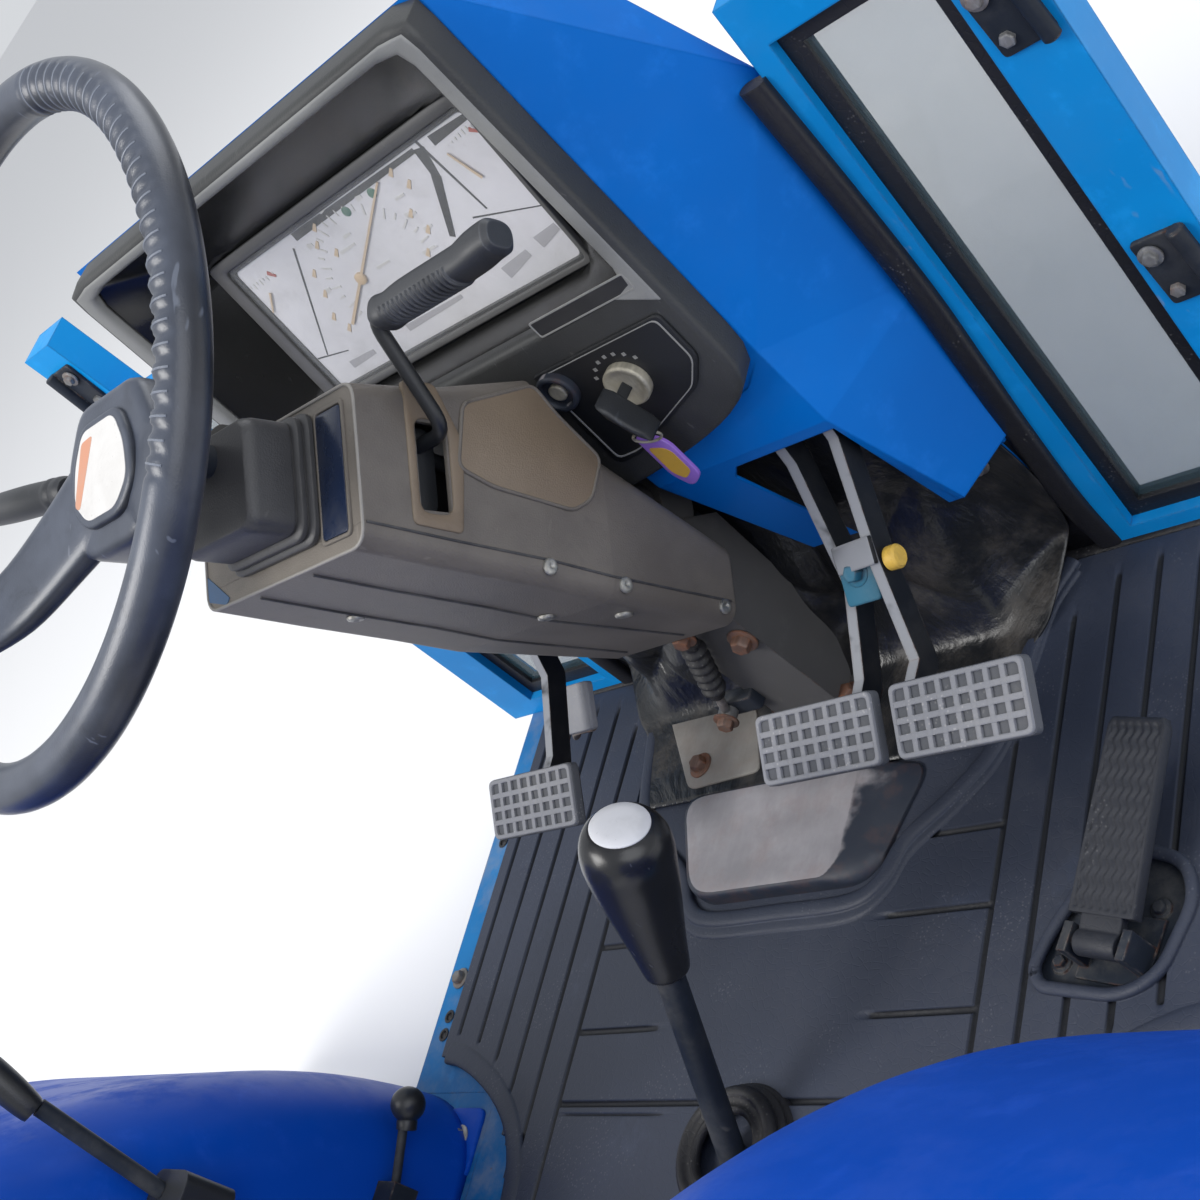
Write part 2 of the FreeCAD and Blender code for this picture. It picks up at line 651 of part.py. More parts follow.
def pod_recess(wall, back):
    """The recess from the window in the pod's face to the dial sheet, or its tub with walls."""
    near = [(WINDOW_HALF_W + wall, face_y(z) - back, z + (wall if z == WINDOW_TOP_Z else -wall))
            for z in (WINDOW_TOP_Z, WINDOW_LOW_Z)]
    far = [(GAUGE_HALF_W + wall, GAUGE_TOP_Y + 2 * wall, GAUGE_TOP_Z + wall),
           (GAUGE_HALF_W + wall, GAUGE_LOW_Y + 2 * wall, GAUGE_LOW_Z - wall)]
    return rows_solid(near, far)


def pod():
    rim = pod_body(0)
    recess = pod_recess(0, POD_DEPTH + 1)
    housing = rim.fuse(pod_recess(POD_WALL, 0)).cut(recess).cut(tube_gap())
    export("pod_housing", housing)

    lean = V(0, GAUGE_TOP_Y - GAUGE_LOW_Y, GAUGE_TOP_Z - GAUGE_LOW_Z)
    lean.normalize()
    out = V(0, -lean.z, lean.y)
    m = 2.0
    def plate(near_gap, thick, margin):
        base = V(0, GAUGE_LOW_Y, GAUGE_LOW_Z) + out * near_gap
        height = GAUGE_TOP_Z - GAUGE_LOW_Z
        half = GAUGE_HALF_W - margin
        corners = [base + V(-half, 0, 0) + lean * margin, base + V(half, 0, 0) + lean * margin,
                   base + V(half, 0, 0) + lean * (height - margin), base + V(-half, 0, 0) + lean * (height - margin)]
        return Part.Face(Part.makePolygon(corners + [corners[0]])).extrude(out * thick)
    export("gauge_face", plate(0, GAUGE_T, 0.5))
    export("gauge_lens", plate(GAUGE_T, LENS_T, 0.5))


def on_face(shape, x, z, lift=0.0):
    """Place a shape, whose local Z points at the driver, on the pod's face."""
    tilt = math.degrees(math.atan(POD_LEAN))
    shape = shape.copy()
    normal = V(0, -math.cos(math.radians(tilt)), math.sin(math.radians(tilt)))
    base = V(x, face_y(z) - POD_DEPTH, z) + normal * lift
    shape.Placement = FreeCAD.Placement(base, FreeCAD.Rotation(V(1, 0, 0), 90 - tilt)).multiply(shape.Placement)
    return shape


def switches():
    points = [(-75, 26), (56, 26), (56, -8), (38, -32), (-94, -46)]
    points = [(x, z) for x, z in ((-62, -22), (-62, 32), (56, 32), (56, -6), (38, -24), (-40, -52), (-62, -52))]
    plate = Part.Face(polygon([(x, z, 0) for x, z in points])).extrude(V(0, 0, SWITCH_T))
    export("switch_panel", on_face(plate, IGNITION_X, IGNITION_Z))
    ring = Part.makeCylinder(15, 7).cut(Part.makeCylinder(11, 8)).fuse(Part.makeCylinder(11.5, 4.5))
    export("ignition_switch", on_face(ring, IGNITION_X, IGNITION_Z, SWITCH_T))
    key = block(-1.4, 1.4, -3.5, 3.5, 4.5, 16).fuse(block(-1.6, 1.6, -26, 12, 16, 34))
    key = key.cut(rod((-3, -19, 25), (3, -19, 25), 3))
    key.rotate(V(0, 0, 0), V(0, 0, 1), 20)
    export("ignition_key", on_face(key, IGNITION_X, IGNITION_Z, SWITCH_T))
    socket = Part.makeCylinder(14, 6).cut(Part.makeCylinder(8, 7, V(0, 0, 1.5)))
    export("lighter_socket", on_face(socket, LIGHTER_X, LIGHTER_Z, SWITCH_T))


def frame_points(inner, z_base):
    """Corners of the right corner window frame as X and Z pairs, outer or inner outline."""
    def up(x, lean, z):
        return x + lean * (z - MAT_TOP)
    low, top = DECK_TOP, BAR_LOW_Z + BAR_H
    if inner:
        low, top = DECK_TOP + SILL_H, BAR_LOW_Z
        a, b = UPRIGHT_X + UPRIGHT_W, PILLAR_X
    else:
        a, b = UPRIGHT_X, PILLAR_X + PILLAR_W
    return [(up(a, UPRIGHT_LEAN, low), low), (up(b, PILLAR_LEAN, low), low),
            (up(b, PILLAR_LEAN, top), top), (up(a, UPRIGHT_LEAN, top), top)]


def frame_prism(points, y_offset, depth):
    return Part.Face(polygon([(x, frame_y(z) + y_offset, z) for x, z in points])).extrude(V(0, depth, 0))


def inset_points(points, d):
    """Shrink a four-cornered outline, whose corners run from its lower left, by about d."""
    (x0, z0), (x1, z1), (x2, z2), (x3, z3) = points
    return [(x0 + d, z0 + d), (x1 - d, z1 + d), (x2 - d, z2 - d), (x3 + d, z3 - d)]


def windows():
    outer, inner = frame_points(False, 0), frame_points(True, 0)
    frame = frame_prism(outer, 0, FRAME_DEPTH)
    top = BAR_LOW_Z + BAR_H
    stub = [(PILLAR_X + PILLAR_LEAN * (z - MAT_TOP) + dx, z)
            for dx, z in ((0, top - 4), (PILLAR_W, top - 4), (PILLAR_W, PILLAR_TOP_Z), (0, PILLAR_TOP_Z))]
    frame = frame.fuse(frame_prism(stub, 0, FRAME_DEPTH))
    frame = frame.cut(frame_prism(inner, -1, FRAME_DEPTH + 2))
    pocket = frame_prism(inset_points(outer, FRAME_WALL), FRAME_WALL, FRAME_DEPTH)
    pocket = pocket.cut(frame_prism(inset_points(inner, -FRAME_WALL), 0, FRAME_DEPTH + 5))
    frame = frame.cut(pocket)
    stub_pocket = [(x + (FRAME_WALL if i in (0, 3) else -FRAME_WALL), z + (5 if i < 2 else -SHEET))
                   for i, (x, z) in enumerate(stub)]
    frame = frame.cut(frame_prism(stub_pocket, FRAME_WALL, FRAME_DEPTH))
    gasket = frame_prism(inner, 8, GASKET_T).cut(frame_prism(inset_points(inner, GASKET_W), 7, GASKET_T + 2))
    glass_outline = inset_points(inner, GASKET_W)
    glass = frame_prism(glass_outline, 11.5, GLASS_T)
    for name, shape in (("window_frame", frame), ("window_gasket", gasket), ("window_glass", glass)):
        export(name + "_right", shape)
        export(name + "_left", mirrored(shape))


def bulkhead():
    low = block(-BULK_LOW_HALF_W, BULK_LOW_HALF_W, BULK_Y, BULK_Y + SHEET, DECK_TOP, BULK_STEP_Z)
    high = block(-DECK_HALF_W, DECK_HALF_W, BULK_Y, BULK_Y + SHEET, BULK_STEP_Z - 20, BULK_TOP_Z)
    panel = low.fuse(high.common(rows_solid(*cowl_rows(COWL_WALL + BULK_SEAT, 5, COWL_WALL, 14))))
    hole = on_column(Part.makeCylinder(TUBE_R + 13, 90, V(0, 0, -SHAFT_END - 20)))
    export("bulkhead", panel.cut(hole))
    w = MAT_CUT_HALF_W - 3
    outer = [(TOE_FOOT_Y, DECK_TOP), (TOE_BEND_Y, TOE_BEND_Z), (BULK_Y - TOE_T, TOE_TOP_Z)]
    points = [(-w, y, z) for y, z in outer] + [(-w, y + TOE_T, z) for y, z in reversed(outer)]
    cover = prism(points, (2 * w, 0, 0))
    gap = block(-TOE_GAP_HALF_W, TOE_GAP_HALF_W, 190, 300, DECK_TOP - 1, TOE_TOP_Z + 1)
    export("firewall_cover", cover.cut(gap))


def arm(x, path):
    """A pedal arm cut from plate, following its path from the pad to its hub on the shaft."""
    half = ARM_W / 2
    body = None
    for (y0, z0), (y1, z1) in zip(path, path[1:]):
        d = V(0, y1 - y0, z1 - z0)
        d.normalize()
        n = V(0, -d.z, d.y) * half
        a, b = V(x - ARM_T / 2, y0, z0), V(x - ARM_T / 2, y1, z1)
        piece = Part.Face(Part.makePolygon([a - n, b - n, b + n, a + n, a - n])).extrude(V(ARM_T, 0, 0))
        joint = Part.makeCylinder(half, ARM_T, b, V(1, 0, 0))
        piece = piece.fuse(joint)
        body = piece if body is None else body.fuse(piece)
    length = 2 * HUB_HALF_L
    hub = Part.makeCylinder(HUB_R, length, V(x - HUB_HALF_L, PIVOT_Y, PIVOT_Z), V(1, 0, 0))
    bore = Part.makeCylinder(PIVOT_R + PIVOT_CLEAR, length + 2, V(x - HUB_HALF_L - 1, PIVOT_Y, PIVOT_Z), V(1, 0, 0))
    return body.fuse(hub).cut(bore)


def pad(x):
    """A pad and the steel backing plate under it."""
    a = math.radians(PAD_TILT)
    down = V(0, -math.cos(a), -math.sin(a))
    out = V(0, -math.sin(a), math.cos(a))
    top = V(x - PAD_W / 2, PAD_TOP_Y, PAD_TOP_Z)
    corners = [top, top + V(PAD_W, 0, 0), top + V(PAD_W, 0, 0) + down * PAD_H, top + down * PAD_H]
    rubber = Part.Face(Part.makePolygon(corners + [corners[0]])).extrude(out * -PAD_T)
    edges = [e for e in rubber.Edges if abs(e.Length - PAD_T) < 1e-3]
    rubber = rubber.makeFillet(5, edges)
    inset = [top + V(4, 0, 0) + down * 4, top + V(PAD_W - 4, 0, 0) + down * 4,
             top + V(PAD_W - 4, 0, 0) + down * (PAD_H - 4), top + V(4, 0, 0) + down * (PAD_H - 4)]
    shift = out * -PAD_T
    inset = [p + shift for p in inset]
    steel = Part.Face(Part.makePolygon(inset + [inset[0]])).extrude(out * -4.0)
    return rubber, steel


def pedals():
    for name, pad_x, arm_x, path in PEDALS:
        rubber, steel = pad(pad_x)
        body = arm(arm_x, path).fuse(steel).cut(rubber)
        export(name + "_arm", body)
        export(name + "_pad", rubber)
    latch = block(BRAKE_LEFT_ARM_X + ARM_T / 2, BRAKE_RIGHT_ARM_X - ARM_T / 2, LATCH_Y - 14, LATCH_Y + 14,
                  LATCH_Z - 3, LATCH_Z + 3)
    latch.rotate(V(0, LATCH_Y, LATCH_Z), V(1, 0, 0), LATCH_TILT)
    export("brake_latch", latch)

    length = SHAFT_RIGHT_X - SHAFT_LEFT_X
    shaft = Part.makeCylinder(PIVOT_R, length, V(SHAFT_LEFT_X, PIVOT_Y, PIVOT_Z), V(1, 0, 0))
    export("pedal_shaft", shaft)
    bracket = block(EARS_X[0] - EAR_T, EARS_X[-1] + EAR_T, BULK_Y - 4, BULK_Y, PIVOT_Z - 26, PIVOT_Z + 26)
    for x in EARS_X:
        bracket = bracket.fuse(block(x - EAR_T / 2, x + EAR_T / 2, PIVOT_Y - 12, BULK_Y, PIVOT_Z - 14, PIVOT_Z + 14))
    export("pedal_bracket", bracket.cut(shaft))


def accel_place(shape):
    shape = shape.copy()
    turn = FreeCAD.Placement(V(ACCEL_X, ACCEL_Y, ACCEL_Z), FreeCAD.Rotation(V(0, 0, 1), ACCEL_TURN))
    shape.Placement = turn.multiply(shape.Placement)
    return shape


def accelerator():
    half = ACCEL_W / 2
    tread = Part.Face(polygon([(-half, 16, 0), (half, 16, 0), (half - 3, ACCEL_L, 0), (-half + 3, ACCEL_L, 0)]))
    tread = tread.extrude(V(0, 0, ACCEL_T))
    knuckle = rod((-14, 0, 2), (14, 0, 2), ACCEL_PIN_R + 4)
    web = block(-14, 14, 0, 18, 0, 6)
    pedal = tread.fuse([knuckle, web]).cut(rod((-20, 0, 2), (20, 0, 2), ACCEL_PIN_R + PIVOT_CLEAR))
    pedal.rotate(V(0, 0, 2), V(1, 0, 0), ACCEL_RISE)
    export("accelerator_pedal", accel_place(pedal))
    floor = DECK_TOP - ACCEL_Z
    base = block(-24, 24, -16, 26, floor, floor + 3)
    for x in (-20, 20):
        base = base.fuse(block(x - 3, x + 3, -9, 9, floor, 9))
    base = base.fuse(rod((-20, 0, 2), (20, 0, 2), ACCEL_PIN_R))
    export("accelerator_base", accel_place(base))


def gear_lever():
    base, top = V(0, GEAR_Y, GEAR_Z), V(*GEAR_TOP)
    d = top - base
    length = d.Length
    d.normalize()
    knob_start = length - GEAR_KNOB_L
    shaft = Part.makeCylinder(GEAR_SHAFT_R, knob_start + 30, base, d)
    ball = Part.makeSphere(GEAR_BALL_R, base)
    r = GEAR_KNOB_R
    profile = [V(0, 0, 0), V(13, 0, 0), V(16, 0, 10), V(r - 4, 0, GEAR_KNOB_L - 58), V(r, 0, GEAR_KNOB_L - 30),
               V(r - 4, 0, GEAR_KNOB_L - 10), V(16, 0, GEAR_KNOB_L - 1), V(0, 0, GEAR_KNOB_L - 1)]
    wire = Part.makePolygon(profile + [profile[0]])
    knob = Part.Face(wire).revolve(V(0, 0, 0), V(0, 0, 1), 360)
    cap = Part.makeCylinder(15, 3, V(0, 0, GEAR_KNOB_L - 1))
    turn = FreeCAD.Placement(base + d * knob_start, FreeCAD.Rotation(V(0, 0, 1), d))
    knob.Placement = turn
    cap.Placement = turn
    pin = rod((-SOCKET_R, GEAR_Y, GEAR_Z), (SOCKET_R, GEAR_Y, GEAR_Z), GEAR_PIN_R)
    export("gear_shaft", shaft.fuse(ball).fuse(pin))
    seat = Part.makeCylinder(SOCKET_R, SOCKET_H, V(0, GEAR_Y, GEAR_Z - 12))
    seat = seat.fuse(block(-SOCKET_R, SOCKET_R, MEMBER_W / 2 - MEMBER_Y, GEAR_Y, GEAR_Z - 12, GEAR_Z - 12 + SOCKET_H))
    for x0, x1 in ((-SOCKET_R, -GEAR_EAR_X0), (GEAR_EAR_X0, SOCKET_R)):
        seat = seat.fuse(block(x0, x1, GEAR_Y - 8, GEAR_Y + 8, GEAR_Z - 12, GEAR_Z - 12 + GEAR_EAR_H))
    seat = seat.cut(Part.makeSphere(GEAR_BALL_R + 0.1, base))
    seat = seat.cut(rod((-SOCKET_R - 1, GEAR_Y, GEAR_Z), (SOCKET_R + 1, GEAR_Y, GEAR_Z), GEAR_PIN_R + GEAR_PIN_CLEAR))
    export("gear_socket", seat)
    export("gear_knob", knob.cut(Part.makeCylinder(GEAR_SHAFT_R, 30, base + d * knob_start, d)))
    export("gear_knob_cap", cap)
    boot = Part.makeCone(BOOT_R, BOOT_TOP_R, BOOT_H, V(BOOT_X, BOOT_Y, DECK_TOP))
    boot = boot.cut(Part.makeCylinder(BOOT_HOLE_R, 60, V(BOOT_X, BOOT_Y, DECK_TOP - 1)))
    export("gear_boot", boot)


def fender():
    """A pressed arch over the wheel: a flanged skin, a rounded shoulder and a flat inner wall."""
    r, t, s = FENDER_R, FENDER_T, FENDER_SHOULDER
    outer, crease, wall = FENDER_OUTER_X, FENDER_CREASE_X, FENDER_WALL_X
    depth = crease - wall
    k = math.sqrt(0.5)

    def path(off):
        centre = V(crease, 0, r - s)
        def p(angle):
            a = math.radians(angle)
            return V(centre.x - (depth - off) * math.cos(a), 0, centre.z + (s - off) * math.sin(a))
        lip_x = outer - off
        pts = [V(lip_x, 0, r - FENDER_LIP), V(lip_x, 0, r - off), V(crease, 0, r - off)]
        arc = [p(90 - i * 15) for i in range(7)]
        return pts, arc
    outer_pts, outer_arc = path(0)
    inner_pts, inner_arc = path(t)
    low = 400.0
    chain = outer_pts + outer_arc[1:] + [V(wall, 0, low), V(wall + t, 0, low)]
    back = list(reversed(inner_arc[1:])) + list(reversed(inner_pts))
    wire = Part.makePolygon(chain + back + [chain[0]])
    band = Part.Face(wire)
    band.Placement = FreeCAD.Placement(V(0, FENDER_Y, FENDER_Z), FreeCAD.Rotation())
    arch = band.revolve(V(0, FENDER_Y, FENDER_Z), V(1, 0, 0), 180)
    arch.rotate(V(0, FENDER_Y, FENDER_Z), V(1, 0, 0), -90)
    plate = Part.makeCylinder(low + 1, t, V(wall, FENDER_Y, FENDER_Z), V(1, 0, 0))
    shape = arch.fuse(plate)
    shape = shape.cut(block(0, 800, -1400, 100, -700, DECK_TOP))
    shape = shape.cut(block(0, 800, -1400, FENDER_Y - 200, -700, FENDER_REAR_Z))
    return shape


def fenders():
    right = fender()
    export("fender_right", right)
    export("fender_left", mirrored(right))


def beside_arch(below, angle):
    """A point on the fender's wall: so far below the crest line, at an angle from straight ahead."""
    a = math.radians(angle)
    return FENDER_Y + (FENDER_R - below) * math.cos(a), FENDER_Z + (FENDER_R - below) * math.sin(a)


def fender_levers():
    wall = -FENDER_WALL_X
    y, z = beside_arch(RANGE_BELOW, RANGE_ANGLE)
    bracket = block(wall, wall + 22, y - 12, y + 12, z - 11, z + 11)
    lever = rod((wall + 14, y + 4, z + 3), (wall + 18, y + 56, z + 17), 3.5)
    ball = Part.makeSphere(RANGE_BALL_R, V(wall + 20, y + 66, z + 19))
    export("range_lever", bracket.fuse(lever).cut(ball))
    export("range_lever_ball", ball)
    y, z = beside_arch(CONSOLE_BELOW, CONSOLE_ANGLE)
    console = block(wall, wall + 46, y - 55, y + 55, z - 19, z + 19)
    console = console.makeFillet(9, [e for e in console.Edges if e.BoundBox.ZLength > 30])
    export("fender_console", console)
    rod_low, rod_top = (wall + 16, y + 39, z + 11), (wall - 22, y + 79, z + 171)
    handle = rod(rod_low, rod_top, 6)
    grip = rod((wall - 8, y + 64, z + 111), rod_top, 12)
    export("position_lever", handle.cut(grip).cut(console))
    export("position_grip", grip)


def main():
    deck()
    mat()
    hump()
    column()
    wheel()
    throttle()
    stalk()
    cowl()
    pod()
    switches()
    windows()
    bulkhead()
    pedals()
    accelerator()
    gear_lever()
    fenders()
    fender_levers()


main()
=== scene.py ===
"""Dresses the operator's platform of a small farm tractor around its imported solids."""
import logging
import math
from dataclasses import dataclass, field
from enum import Enum
from typing import Any, Sequence

import bmesh
import bpy
import numpy as np
from mathutils import Matrix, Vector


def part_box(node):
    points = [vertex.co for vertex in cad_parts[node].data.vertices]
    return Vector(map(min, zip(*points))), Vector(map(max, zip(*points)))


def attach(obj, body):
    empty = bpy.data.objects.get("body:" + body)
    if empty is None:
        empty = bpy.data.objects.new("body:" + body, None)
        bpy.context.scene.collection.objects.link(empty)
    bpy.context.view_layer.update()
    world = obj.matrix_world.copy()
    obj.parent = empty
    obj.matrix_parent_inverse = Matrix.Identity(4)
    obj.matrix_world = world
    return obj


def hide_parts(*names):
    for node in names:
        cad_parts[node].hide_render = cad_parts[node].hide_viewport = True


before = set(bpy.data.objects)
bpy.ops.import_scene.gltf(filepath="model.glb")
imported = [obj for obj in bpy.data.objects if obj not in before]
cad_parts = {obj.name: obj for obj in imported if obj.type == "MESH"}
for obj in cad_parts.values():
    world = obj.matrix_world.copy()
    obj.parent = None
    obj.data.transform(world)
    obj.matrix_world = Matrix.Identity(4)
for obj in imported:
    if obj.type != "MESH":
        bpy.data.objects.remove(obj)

LOG = logging.getLogger("platform")
MM = 0.001
WELD = 1e-6
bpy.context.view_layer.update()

WHEEL_Y, WHEEL_Z = 47.0, 662.0
TILT = math.radians(27.4)
MAT_TOP = 60.0
DECK_TOP = 54.0

Colour = tuple[float, float, float]


class Body(Enum):
    """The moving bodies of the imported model."""

    PLATFORM = "platform"
    WHEEL = "steering_wheel"
    CLUTCH = "clutch_pedal"
    BRAKES = "brake_pedals"
    ACCELERATOR = "accelerator"
    THROTTLE = "hand_throttle"
    SHUTTLE = "shuttle"
    GEAR = "gear_lever"


# Shader trees


class Value:
    """One output socket of a shader tree, on which arithmetic adds Math nodes."""

    def __init__(self, tree: "Tree", socket: bpy.types.NodeSocket) -> None:
        """Keep the socket and the tree that it belongs to."""
        self.tree = tree
        self.socket = socket

    def math(self, operation: str, *others: Any) -> "Value":
        """Add a Math node.

        Args:
            operation: The node's operation.
            others: The other inputs, as numbers or values.

        Returns:
            The node's result.
        """
        return self.tree.node("ShaderNodeMath", {"operation": operation}, dict(enumerate((self, *others))))

    def __add__(self, other: Any) -> "Value":
        """Sum."""
        return self.math("ADD", other)

    __radd__ = __add__

    def __sub__(self, other: Any) -> "Value":
        """Difference."""
        return self.math("SUBTRACT", other)

    def __rsub__(self, other: float) -> "Value":
        """Difference from a number."""
        return self.tree.node("ShaderNodeMath", {"operation": "SUBTRACT"}, {0: other, 1: self})

    def __mul__(self, other: Any) -> "Value":
        """Product."""
        return self.math("MULTIPLY", other)

    __rmul__ = __mul__

    def __pow__(self, other: float) -> "Value":
        """Power."""
        return self.math("POWER", other)

    def most(self, other: Any) -> "Value":
        """The larger of the two."""
        return self.math("MAXIMUM", other)

    def least(self, other: Any) -> "Value":
        """The smaller of the two."""
        return self.math("MINIMUM", other)

    def rise(self, low: float, high: float) -> "Value":
        """Go smoothly from 0 at low to 1 at high."""
        return self.tree.node("ShaderNodeMapRange", {"interpolation_type": "SMOOTHSTEP"},
                              {"Value": self, "From Min": low, "From Max": high})


class Tree:
    """The node tree of one finish, from its coordinates to its shader."""

    def __init__(self, name: str) -> None:
        """Start a material with one Principled shader."""
        self.material = bpy.data.materials.new(name)
        self.material.use_nodes = True
        self.nodes = self.material.node_tree.nodes
        self.links = self.material.node_tree.links
        self.nodes.clear()
        output = self.nodes.new("ShaderNodeOutputMaterial")
        self.shader = self.nodes.new("ShaderNodeBsdfPrincipled")
        self.links.new(self.shader.outputs[0], output.inputs["Surface"])
        self.place = self.node("ShaderNodeTexCoord", {}, {}, "Object")
        self.corners: dict[float, Value] = {}

    def node(self, kind: str, settings: dict[str, Any], inputs: dict[Any, Any], output: Any = 0) -> Value:
        """Add one node.

        Args:
            kind: The node's type.
            settings: Its properties, set before its sockets.
            inputs: Socket names or numbers with numbers, colours or values.
            output: The output that is returned, by name or number.

        Returns:
            The chosen output.
        """
        made = self.nodes.new(kind)
        for key, value in settings.items():
            setattr(made, key, value)
        for key, value in inputs.items():
            if isinstance(value, Value):
                self.links.new(value.socket, made.inputs[key])
            else:
                made.inputs[key].default_value = value
        return Value(self, made.outputs[output])

    def feed(self, **sockets: Any) -> None:
        """Set or link sockets of the shader, named with _ for each blank."""
        for key, value in sockets.items():
            socket = self.shader.inputs[key.replace("_", " ").title().replace("Ior", "IOR")]
            if isinstance(value, Value):
                self.links.new(value.socket, socket)
            else:
                socket.default_value = value

    def stretched(self, scale: Sequence[float], turn: Sequence[float] = (0.0, 0.0, 0.0)) -> Value:
        """The object's coordinates, scaled by axis and turned."""
        return self.node("ShaderNodeMapping", {}, {"Vector": self.place, "Scale": tuple(scale), "Rotation": tuple(turn)})

    def noise(self, scale: float, detail: float = 3.0, rough: float = 0.55, at: Value | None = None,
              warp: float = 0.0) -> Value:
        """Cloudy noise around 0.5, with scale in features a metre."""
        return self.node("ShaderNodeTexNoise", {}, {"Vector": at or self.place, "Scale": scale, "Detail": detail,
                                                    "Roughness": rough, "Distortion": warp})

    def cells(self, scale: float, feature: str = "F1", at: Value | None = None) -> Value:
        """Distance pattern of scattered cells."""
        return self.node("ShaderNodeTexVoronoi", {"feature": feature}, {"Vector": at or self.place, "Scale": scale},
                         "Distance")

    def mix(self, factor: Any, low: Any, high: Any) -> Value:
        """Blend two colours, or values that hold colours."""
        colours = {6: low, 7: high}
        colours = {k: v if isinstance(v, Value) else (*v, 1.0) for k, v in colours.items()}
        return self.node("ShaderNodeMix", {"data_type": "RGBA"}, {0: factor, **colours}, 2)

    def axis(self, index: int, of: Value | None = None) -> Value:
        """One coordinate of a vector, by default of the object's own place."""
        return self.node("ShaderNodeSeparateXYZ", {}, {"Vector": of or self.place}, index)

    def upward(self) -> Value:
        """How far the surface faces up, from -1 to 1."""
        return self.axis(2, self.node("ShaderNodeNewGeometry", {}, {}, "Normal"))

    def rounded(self, radius: float) -> Value:
        """The normal with its corners rounded by a radius in metres, from one node for each radius."""
        if radius not in self.corners:
            self.corners[radius] = self.node("ShaderNodeBevel", {"samples": 2}, {"Radius": radius})
        return self.corners[radius]

    def edges(self, radius: float) -> Value:
        """A mask that rises near corners: 1 less the dot product of the true and the rounded normal."""
        true = self.node("ShaderNodeNewGeometry", {}, {}, "Normal")
        dot = self.node("ShaderNodeVectorMath", {"operation": "DOT_PRODUCT"}, {0: self.rounded(radius), 1: true},
                        "Value")
        return 1.0 - dot

    def bump(self, height: Value, depth: float, strength: float = 1.0, radius: float = 0.0) -> None:
        """Let a height pattern tilt the normal.

        Args:
            height: The pattern.
            depth: Metres from its 0 to its 1.
            strength: The node's strength.
            radius: Metres by which corners look rounded, or 0.
        """
        inputs = {"Height": height, "Distance": depth, "Strength": strength}
        if radius > 0:
            inputs["Normal"] = self.rounded(radius)
        self.feed(normal=self.node("ShaderNodeBump", {}, inputs))


class Finish:
    """Base of all finishes: keeps one material by name."""

    name: str
    made: dict[str, bpy.types.Material] = {}

    def material(self) -> bpy.types.Material:
        """The finish's material, made at its first use."""
        if self.name not in Finish.made:
            tree = Tree(self.name)
            self.dress(tree)
            Finish.made[self.name] = tree.material
        return Finish.made[self.name]

    def dress(self, tree: Tree) -> None:
        """Wire the finish into its tree."""
        raise NotImplementedError


@dataclass(frozen=True)
class Paint(Finish):
    """Sprayed paint on sheet steel, with dust, scuffs and chips at the edges."""

    name: str
    colour: Colour
    deep: Colour
    chip: Colour = (0.16, 0.12, 0.10)
    rust: Colour = (0.20, 0.075, 0.03)
    dust: Colour = (0.30, 0.29, 0.27)
    dustiness: float = 0.25
    chips: float = 0.5
    gloss: float = 0.32
    corner: float = 0.0015
    shine: float = 0.14
    scuffs: float = 0.35
    bare_and_highlit_front: float = 0.0

    def dress(self, tree: Tree) -> None:
        """Clouded colour, fine orange peel, dust that gathers on what faces up, and chipped, rusty edges; plates
        that stand on edge get a pale grey along the edge that faces the driver, part worn bare metal and part painted
        highlight."""
        cloud = tree.noise(5.0, 3.0).rise(0.35, 0.7)
        body = tree.mix(cloud, self.deep, self.colour)
        faded = tree.noise(38.0, 5.0, 0.65).rise(0.52, 0.75) * 0.25
        body = tree.mix(faded, body, tuple(min(1.0, c * 1.35 + 0.02) for c in self.colour))
        dirt = tree.noise(17.0, 6.0, 0.7).rise(0.42, 0.72) * (tree.upward().rise(-0.2, 0.9) * 0.8 + 0.2)
        body = tree.mix(dirt * self.dustiness, body, self.dust)
        streak = tree.noise(120.0, 2.0, 0.5, tree.stretched((1.0, 0.12, 0.35)))
        scuff = streak.rise(0.66, 0.74) * tree.noise(9.0, 2.0).rise(0.5, 0.64) * self.scuffs
        body = tree.mix(scuff, body, self.dust)
        worn = tree.edges(self.corner * 1.4).rise(0.05, 0.28) * tree.noise(55.0, 4.0, 0.7).rise(0.44, 0.60)
        spots = tree.noise(70.0, 3.0, 0.6).rise(0.735, 0.76)
        bare = (worn + spots) * self.chips
        metal = tree.mix(tree.noise(160.0, 3.0).rise(0.4, 0.62), self.chip, self.rust)
        # Pale grey on faces that do not face sideways: part worn bare metal, part painted highlight.
        if self.bare_and_highlit_front:
            sideways = tree.axis(0, tree.node("ShaderNodeNewGeometry", {}, {}, "Normal"))
            front = (sideways * sideways).rise(0.30, 0.12) * tree.noise(24.0, 4.0).rise(0.28, 0.45)
            body = tree.mix(front * self.bare_and_highlit_front, body, (0.30, 0.31, 0.335))
        tree.feed(base_color=tree.mix(bare.least(1.0), body, metal),
                  roughness=(dirt * 0.4 + self.gloss + bare * 0.35 + scuff * 0.3).least(0.95),
                  specular_ior_level=self.shine)
        tree.bump(tree.noise(900.0, 1.0) * 0.05 + tree.noise(26.0, 2.0) * 0.5 - spots * (self.chips * 0.6), 0.0004,
                  radius=self.corner * 1.4)


